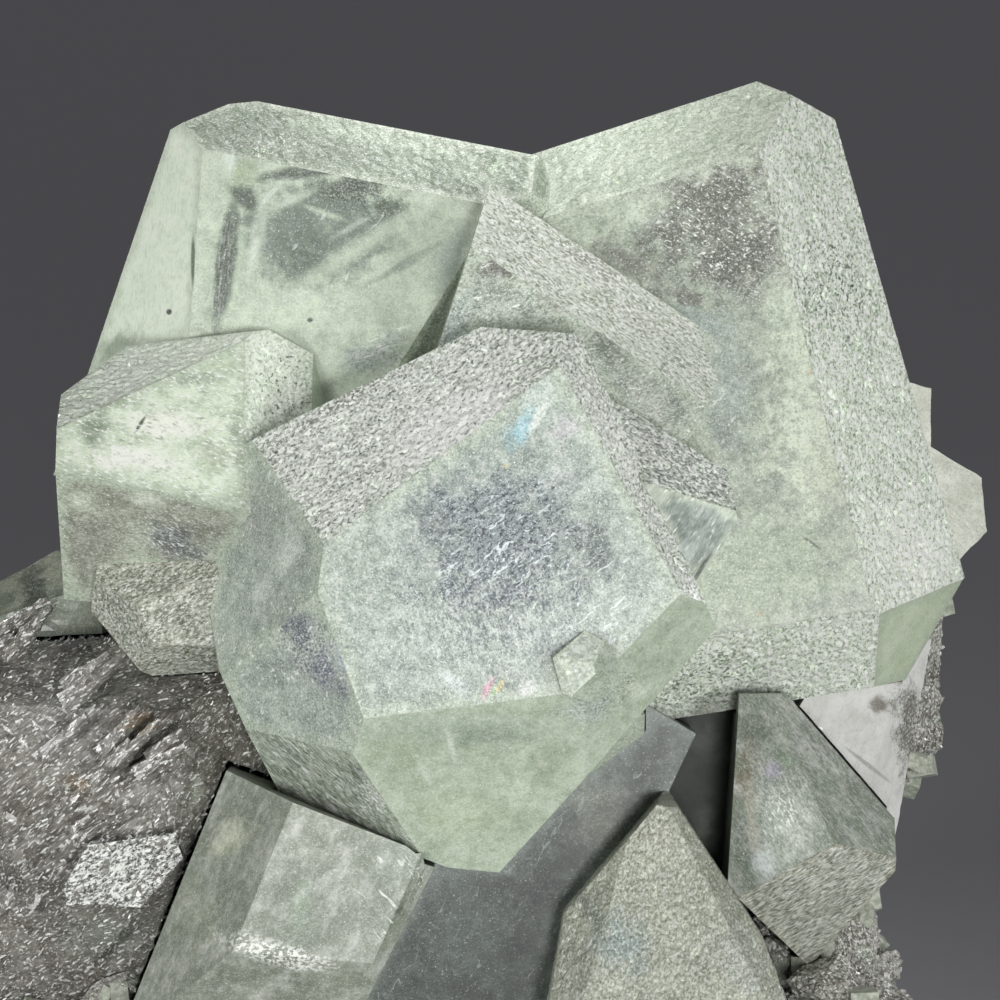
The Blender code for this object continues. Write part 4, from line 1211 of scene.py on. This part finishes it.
clear_low_haze = painted("clear_block_haze", 6, (130, 137, 126), (164, 171, 159), roughness=0.28,
    coat=0.3, bump=0.15, border=(0.6, (150, 157, 144)), layers=(
    Patch(752, 812, 9, 60, 6, (182, 180, 164), soft=0.8, ragged=0.8),
    Patch(744, 780, 14, 50, -8, (140, 132, 116), ragged=1.4),
    Patch(776, 772, 14, 12, 0, (176, 170, 186), ragged=0.8),
    Patch(788, 762, 8, 8, 0, (170, 190, 168), ragged=0.8),
    Patch(764, 866, 18, 22, 0, (216, 224, 220), ragged=0.9, soft=0.8),
    Patch(850, 820, 30, 44, -40, (146, 154, 142)),
    Patch(786, 825, 30, 56, 0, (170, 178, 168), ragged=1.6),
    Sugar(1.2, 0.6, 2.0, -55, dark=MOSS), Sugar(0.15, 0.5, 2.5, -50),
    Specks(0.16, 0.55, WHITE, 0.95, 4.0, -60, Patch(788, 815, 36, 50, 0)),
    Specks(0.12, 0.30, WHITE, 0.8)))
striated_mist = painted("clear_block_striated", 4, (168, 171, 157), (190, 193, 178), bump=0.3,
    border=(0.6, BEIGE), layers=(
    Sugar(0.5, 0.2, 3.0, 40, dark=(116, 120, 106)), Sugar(0.17, 1.4, 5.0, 40, dark=(104, 108, 94)),
    Specks(0.14, 0.30, (226, 228, 216), 0.8, 3.0, 40)))
LOWER_FINISHES = {
    "grey_block": {"haze": grey_haze},
    "slate_green_block": {"haze": slate_haze},
    "sandy_block": {"frost": sandy_frost},
    "clear_block": {"haze": clear_low_haze, "mist": striated_mist},
}
lower_glass = clear_crystal(
    "clear_grey_fluorite", tint=(0.95, 0.97, 0.945), left=(0.74, 0.82, 0.74), density=40,
    roughness=(0.04, 0.2), shade=(0.92, 0.94, 0.915))
lower_faces = whole_faces("lower_crystals")
clear_body("lower_clear", lower_faces, "lower_crystals", lower_glass)
dress(lower_faces, LOWER_FACES, LOWER_FINISHES)
lower_rest = painted("lower_sides", 0, (132, 142, 130), (164, 173, 159), roughness=0.3, coat=0.4,
    clouds=0.4, layers=(
    Sugar(0.9, 0.4, dark=MOSS), Sugar(0.15, 0.5), Specks(0.14, 0.34, WHITE, 0.8)))
dress_rest("lower_sides", lower_faces, LOWER_FACES, lower_rest)

# %% [markdown]
# ## Painted shade in the gap
# Between the sandy and the clear block one looks into a dark, blurred depth. One flat dark face there
# gives that depth as painted smoky shade, without a crystal of its own.

# %% Painted shade between the blocks
GAP_SHADE_DEPTH = -3.5                    # mm along the growth frame's z
GAP_SHADE_CORNERS = ((628, 706), (752, 696), (752, 884), (688, 862), (640, 790))
gap_shade_mesh = bpy.data.meshes.new("smoky_gap_shade")
corners = [grown(seen(column, row, GAP_SHADE_DEPTH)) for column, row in GAP_SHADE_CORNERS]
gap_shade_mesh.from_pydata(corners, [], [tuple(reversed(range(len(corners))))])
# painted shade: dark smoky colours for the shaded depth between the blocks
gap_shade_finish = painted("smoky_gap_shade", GAP_SHADE_DEPTH, (40, 47, 39), (60, 68, 58), roughness=0.5,
    clouds=0.4, layers=(
    Patch(700, 740, 30, 22, 0, (88, 95, 84), ragged=1.6),
    Patch(704, 826, 12, 36, -16, (92, 98, 87), ragged=1.4),
    Sugar(1.2, 0.3, light=(88, 95, 84), dark=(40, 47, 39)),
    Sugar(0.16, 0.2, light=(96, 104, 92), dark=(40, 47, 39))))
carried("smoky_gap_shade", gap_shade_mesh, gap_shade_finish)
print("smoky veil", len(gap_shade_mesh.polygons), "face")

# %% [markdown]
# ## The dark, back, pale and white crystals
# These are too cloudy to see into. Each keeps its solid's faces, but the faces are filled with a
# fine net with a little relief, and the finish carries streaks along the etching.

# %% Finishes of the cloudy crystals
DARK_FACES = {
    "frosted_hexagon": ((-20.7, -21.0, 2.0), (
        (20, 14, 6.0, "frost"), (-88, 55, 4.3, "mist"), (0, 0, 6.4, "frost"))),
}
dark_finish = painted("etched_dark_crystal", 4, (98, 94, 86), (142, 139, 131), roughness=0.3, clouds=0.35,
    bump=0.3, coat=0.5, layers=(
    Patch(238, 745, 62, 110, -10, (112, 106, 95)),
    Patch(140, 722, 26, 14, 0, (146, 124, 96), ragged=1.3),
    Patch(78, 782, 22, 14, 0, (142, 124, 98), ragged=1.3),
    Patch(60, 720, 76, 64, 0, (150, 148, 143)),
    Patch(150, 800, 60, 30, 38, (150, 148, 141), ragged=1.8),
    Patch(198, 790, 10, 26, 0, (178, 184, 166)),
    Patch(110, 935, 64, 36, 10, (136, 140, 130), soft=0.7),
    Patch(248, 828, 60, 22, 28, (182, 190, 164)),
    Patch(200, 915, 54, 46, 10, (160, 166, 150)),
    Sugar(0.8, 0.5, 3.0, 38, light=(188, 186, 179), dark=(66, 63, 56)),
    Sugar(0.16, 0.55, 4.0, 38, light=(200, 198, 192), dark=(58, 54, 48)),
    # painted glints along the etching
    Specks(0.14, 0.36, WHITE, 1.0, 5.0, 38), Specks(0.22, 0.36, WHITE, 1.0, 1.8, 38)))
hexagon_frost = painted("hexagon_frosting", 8, (140, 140, 136), (196, 196, 192), roughness=0.22, bump=0.5,
    layers=(
    Sugar(0.8, 0.4, 1.6, 30, dark=(84, 84, 80)), Sugar(0.20, 2.6, 1.8, 30, dark=(62, 62, 58)),
    Specks(0.16, 0.55, (70, 70, 66), 0.95, 2.4, 30), Specks(0.2, 0.62, WHITE, 1.0, 2.4, 30)))
back_finish = painted("back_left_crystals", -8, (120, 130, 114), (166, 172, 152), coat=0.4, bump=0.2,
    layers=(
    Patch(38, 600, 28, 54, 20, (56, 66, 54)),
    Patch(8, 670, 22, 60, 0, (186, 182, 164)),
    Sugar(0.8, 0.3, dark=DARK_PIT), Sugar(0.16, 0.3), Specks(0.12, 0.26, WHITE, 0.7)))
pale_finish = painted("pale_lilac_crystal", -6, (226, 226, 220), (240, 240, 236), roughness=0.3,
    clouds=0.4, coat=0.4, bump=0.15, layers=(
    Patch(914, 735, 20, 84, 10, (128, 126, 117), soft=0.8, ragged=1.8),
    Sugar(0.2, 1.6, region=Patch(914, 735, 24, 90, 10, soft=0.8), dark=(96, 94, 86)),
    Patch(880, 705, 12, 12, 0, (140, 136, 126), ragged=1.3, soft=0.6),
    Patch(868, 765, 40, 3, -38, (186, 186, 180), ragged=0.4, soft=0.6),
    Sugar(0.9, 0.22, 2.0, 60, dark=(150, 152, 142), light=(220, 220, 214)),
    Sugar(0.15, 0.14, light=(220, 220, 214)),
    Specks(0.12, 0.28, WHITE, 0.7, region=Patch(860, 740, 90, 70, 0, soft=0.6))))
white_finish = painted("white_crystals", -16, (214, 217, 202), (236, 238, 224), roughness=0.4, bump=0.25,
    layers=(
    Sugar(0.8, 0.25, dark=(150, 154, 136)), Sugar(0.17, 0.3), Specks(0.14, 0.3, WHITE, 0.8)))

# %% Refined bodies
MOST_CUTS = 8                        # rounds of halving the long edges
FRACTAL = (0.9, 2.0, 4)              # the relief's dimension, lacunarity and octaves
GRIT = 0.25                          # of the relief, that each point is moved by chance


def refined(node_name, longest, relief, waves, seed):
    """A copy of a node whose edges are at most `longest` mm, with its points moved by noise."""
    bm = whole_faces(node_name)
    bmesh.ops.triangulate(bm, faces=bm.faces[:])
    for _ in range(MOST_CUTS):
        long_edges = [edge for edge in bm.edges if edge.calc_length() > longest * MM]
        if not long_edges:
            break
        bmesh.ops.subdivide_edges(bm, edges=long_edges, cuts=1, use_grid_fill=False)
        bmesh.ops.triangulate(bm, faces=bm.faces[:])
    bm.normal_update()
    rng = random.Random(seed)
    moves = []
    for vert in bm.verts:
        place = vert.co / MM
        swell = noise.fractal(place * waves, *FRACTAL) + rng.uniform(-GRIT, GRIT)
        moves.append(vert.normal * swell * relief * MM)
    for vert, move in zip(bm.verts, moves):
        vert.co += move
        vert.co.z = max(vert.co.z, 0.0)
    mesh = bpy.data.meshes.new(node_name + "_refined")
    bm.to_mesh(mesh)
    bm.free()
    return mesh


def refined_body(name, node_name, longest, relief, waves, seed, material, slot_name):
    mesh = refined(node_name, longest, relief, waves, seed)
    carried(name, mesh, material, node_name)
    print(name, len(mesh.polygons), "triangles")


rock_finish = painted("granular_rock", -10, (108, 105, 97), (176, 173, 164), roughness=0.55, clouds=0.25,
    bump=0.5, layers=(
    Sugar(5.0, 0.9, dark=(118, 112, 100), light=(212, 208, 196)),
    Specks(2.6, 0.42, (172, 184, 162), 0.7), Specks(1.8, 0.30, (132, 116, 94), 0.6),
    Sugar(1.2, 0.5, dark=(104, 98, 88)), Sugar(0.3, 1.2, dark=(92, 88, 80)),
    Specks(0.24, 0.52, WHITE, 1.0)))
BODIES = (
    # name, node, longest edge and relief in mm, the relief's waves per mm, seed, finish, slot
    ("etched_crystal", "dark_crystal", 0.5, 0.10, 1.4, 3, dark_finish, "smoky_fluorite"),
    ("back_left_group", "back_left_crystals", 0.7, 0.05, 1.0, 4, back_finish, "grey_green_fluorite"),
    ("pale_block", "pale_crystal", 0.7, 0.04, 0.8, 5, pale_finish, "white_fluorite"),
    ("white_group", "white_crystals", 0.6, 0.06, 1.0, 6, white_finish, "white_fluorite"),
    ("rock", "matrix", 0.75, 0.22, 0.9, 7, rock_finish, "rock_matrix"),
)
for body in BODIES:
    refined_body(*body)
dark_faces = whole_faces("dark_crystal")
DARK_FINISHES = {"frosted_hexagon": {"frost": hexagon_frost, "mist": dark_finish}}
dress(dark_faces, DARK_FACES, DARK_FINISHES)

# %% [markdown]
# ## Grains and splinters
# Small crystals sit on the rough faces. One Geometry Nodes tree sows them: points at random on a
# mesh, a small block on each, turned about a common direction or at random. Its inputs are the
# density, the smallest and the largest block, the direction and how far a block may stray from it.

# %% Tree that sows the grains
sow = bpy.data.node_groups.new("sow grains", "GeometryNodeTree")
for title, kind in (("Ground", "Geometry"), ("Density", "Float"), ("Smallest", "Vector"),
                    ("Largest", "Vector"), ("Turn", "Vector"), ("Stray", "Float"), ("Lowest", "Float"),
                    ("Seed", "Int"), ("Finish", "Material")):
    sow.interface.new_socket(title, in_out="INPUT", socket_type="NodeSocket" + kind)
sow.interface.new_socket("Grains", in_out="OUTPUT", socket_type="NodeSocketGeometry")
given = sow.nodes.new("NodeGroupInput")
result = sow.nodes.new("NodeGroupOutput")


def sow_node(kind, links=(), **settings):
    """A node of the tree with its settings and its links: (input, source socket) pairs."""
    node = sow.nodes.new(kind)
    for title, value in settings.items():
        setattr(node, title, value)
    for socket, source in links:
        sow.links.new(source, node.inputs[socket])
    return node


height = sow_node("ShaderNodeSeparateXYZ", [(0, sow_node("GeometryNodeInputPosition").outputs[0])])
above = sow_node("FunctionNodeCompare", [(0, height.outputs["Z"]), (1, given.outputs["Lowest"])],
                 operation="GREATER_THAN")
points = sow_node("GeometryNodeDistributePointsOnFaces", [
    ("Mesh", given.outputs["Ground"]), ("Selection", above.outputs[0]), ("Density", given.outputs["Density"]),
    ("Seed", given.outputs["Seed"])])
less = sow_node("ShaderNodeMath", [(0, given.outputs["Stray"])], operation="MULTIPLY")
less.inputs[1].default_value = -1.0
stray = sow_node("FunctionNodeRandomValue", [
    (0, less.outputs[0]), (1, given.outputs["Stray"]), ("Seed", given.outputs["Seed"])],
    data_type="FLOAT_VECTOR")
turn = sow_node("ShaderNodeVectorMath", [(0, given.outputs["Turn"]), (1, stray.outputs[0])])
size = sow_node("FunctionNodeRandomValue", [
    (0, given.outputs["Smallest"]), (1, given.outputs["Largest"]), ("Seed", given.outputs["Seed"])],
    data_type="FLOAT_VECTOR")
block = sow_node("GeometryNodeMeshCube")
blocks = sow_node("GeometryNodeInstanceOnPoints", [
    ("Points", points.outputs["Points"]), ("Instance", block.outputs["Mesh"]), ("Rotation", turn.outputs[0]),
    ("Scale", size.outputs[0])])
real = sow_node("GeometryNodeRealizeInstances", [(0, blocks.outputs[0])])
finished = sow_node("GeometryNodeSetMaterial", [(0, real.outputs[0]), ("Material", given.outputs["Finish"])])
sow.links.new(finished.outputs[0], result.inputs[0])
SOCKETS = {item.name: item.identifier for item in sow.interface.items_tree if item.in_out == "INPUT"}

# %% Grains on the rock and the dark crystal
EVERY_WAY = math.pi
LOWEST = 1.2 * MM                    # grains stay off the cut bottom


def grains(name, ground, per_mm2, smallest, largest, turn, stray, seed, finish):
    """Sow grains on an object. Sizes are millimetres and turns radians."""
    host = linked(name, ground.data.copy())
    sower = host.modifiers.new("sow", "NODES")
    sower.node_group = sow
    values = {"Density": per_mm2 / MM / MM, "Smallest": [v * MM for v in smallest],
              "Largest": [v * MM for v in largest], "Turn": turn, "Stray": stray, "Lowest": LOWEST,
              "Seed": seed, "Finish": finish}
    for title, value in values.items():
        sower[SOCKETS[title]] = value
    made = bpy.data.meshes.new_from_object(host.evaluated_get(bpy.context.evaluated_depsgraph_get()))
    host.modifiers.clear()
    host.data = made
    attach(host, "root")
    print(name, len(made.polygons), "faces")


def grain_finish(name, dark, light, roughness):
    return painted(name, 0, dark, light, roughness=roughness, clouds=3.0)


objects = bpy.data.objects
grains("rock_grains", objects["rock"], 1.6, (0.10, 0.10, 0.10), (0.32, 0.30, 0.34), (0, 0, 0), EVERY_WAY, 11,
       grain_finish("rock_grains", (160, 158, 149), (228, 227, 220), 0.35))
grains("rock_cubes", objects["rock"], 0.06, (0.7, 0.7, 0.7), (1.7, 1.6, 1.7), (0, 0, 0), EVERY_WAY, 13,
       grain_finish("rock_cubes", (164, 172, 154), (214, 219, 204), 0.3))
ALONG_FIBRES = (math.radians(80), math.radians(-38), 0.0)
grains("dark_splinters", objects["etched_crystal"], 1.6, (0.06, 0.05, 0.05), (0.55, 0.12, 0.12),
       ALONG_FIBRES, 0.45, 12, grain_finish("dark_splinters", (196, 196, 190), (244, 246, 242), 0.2))
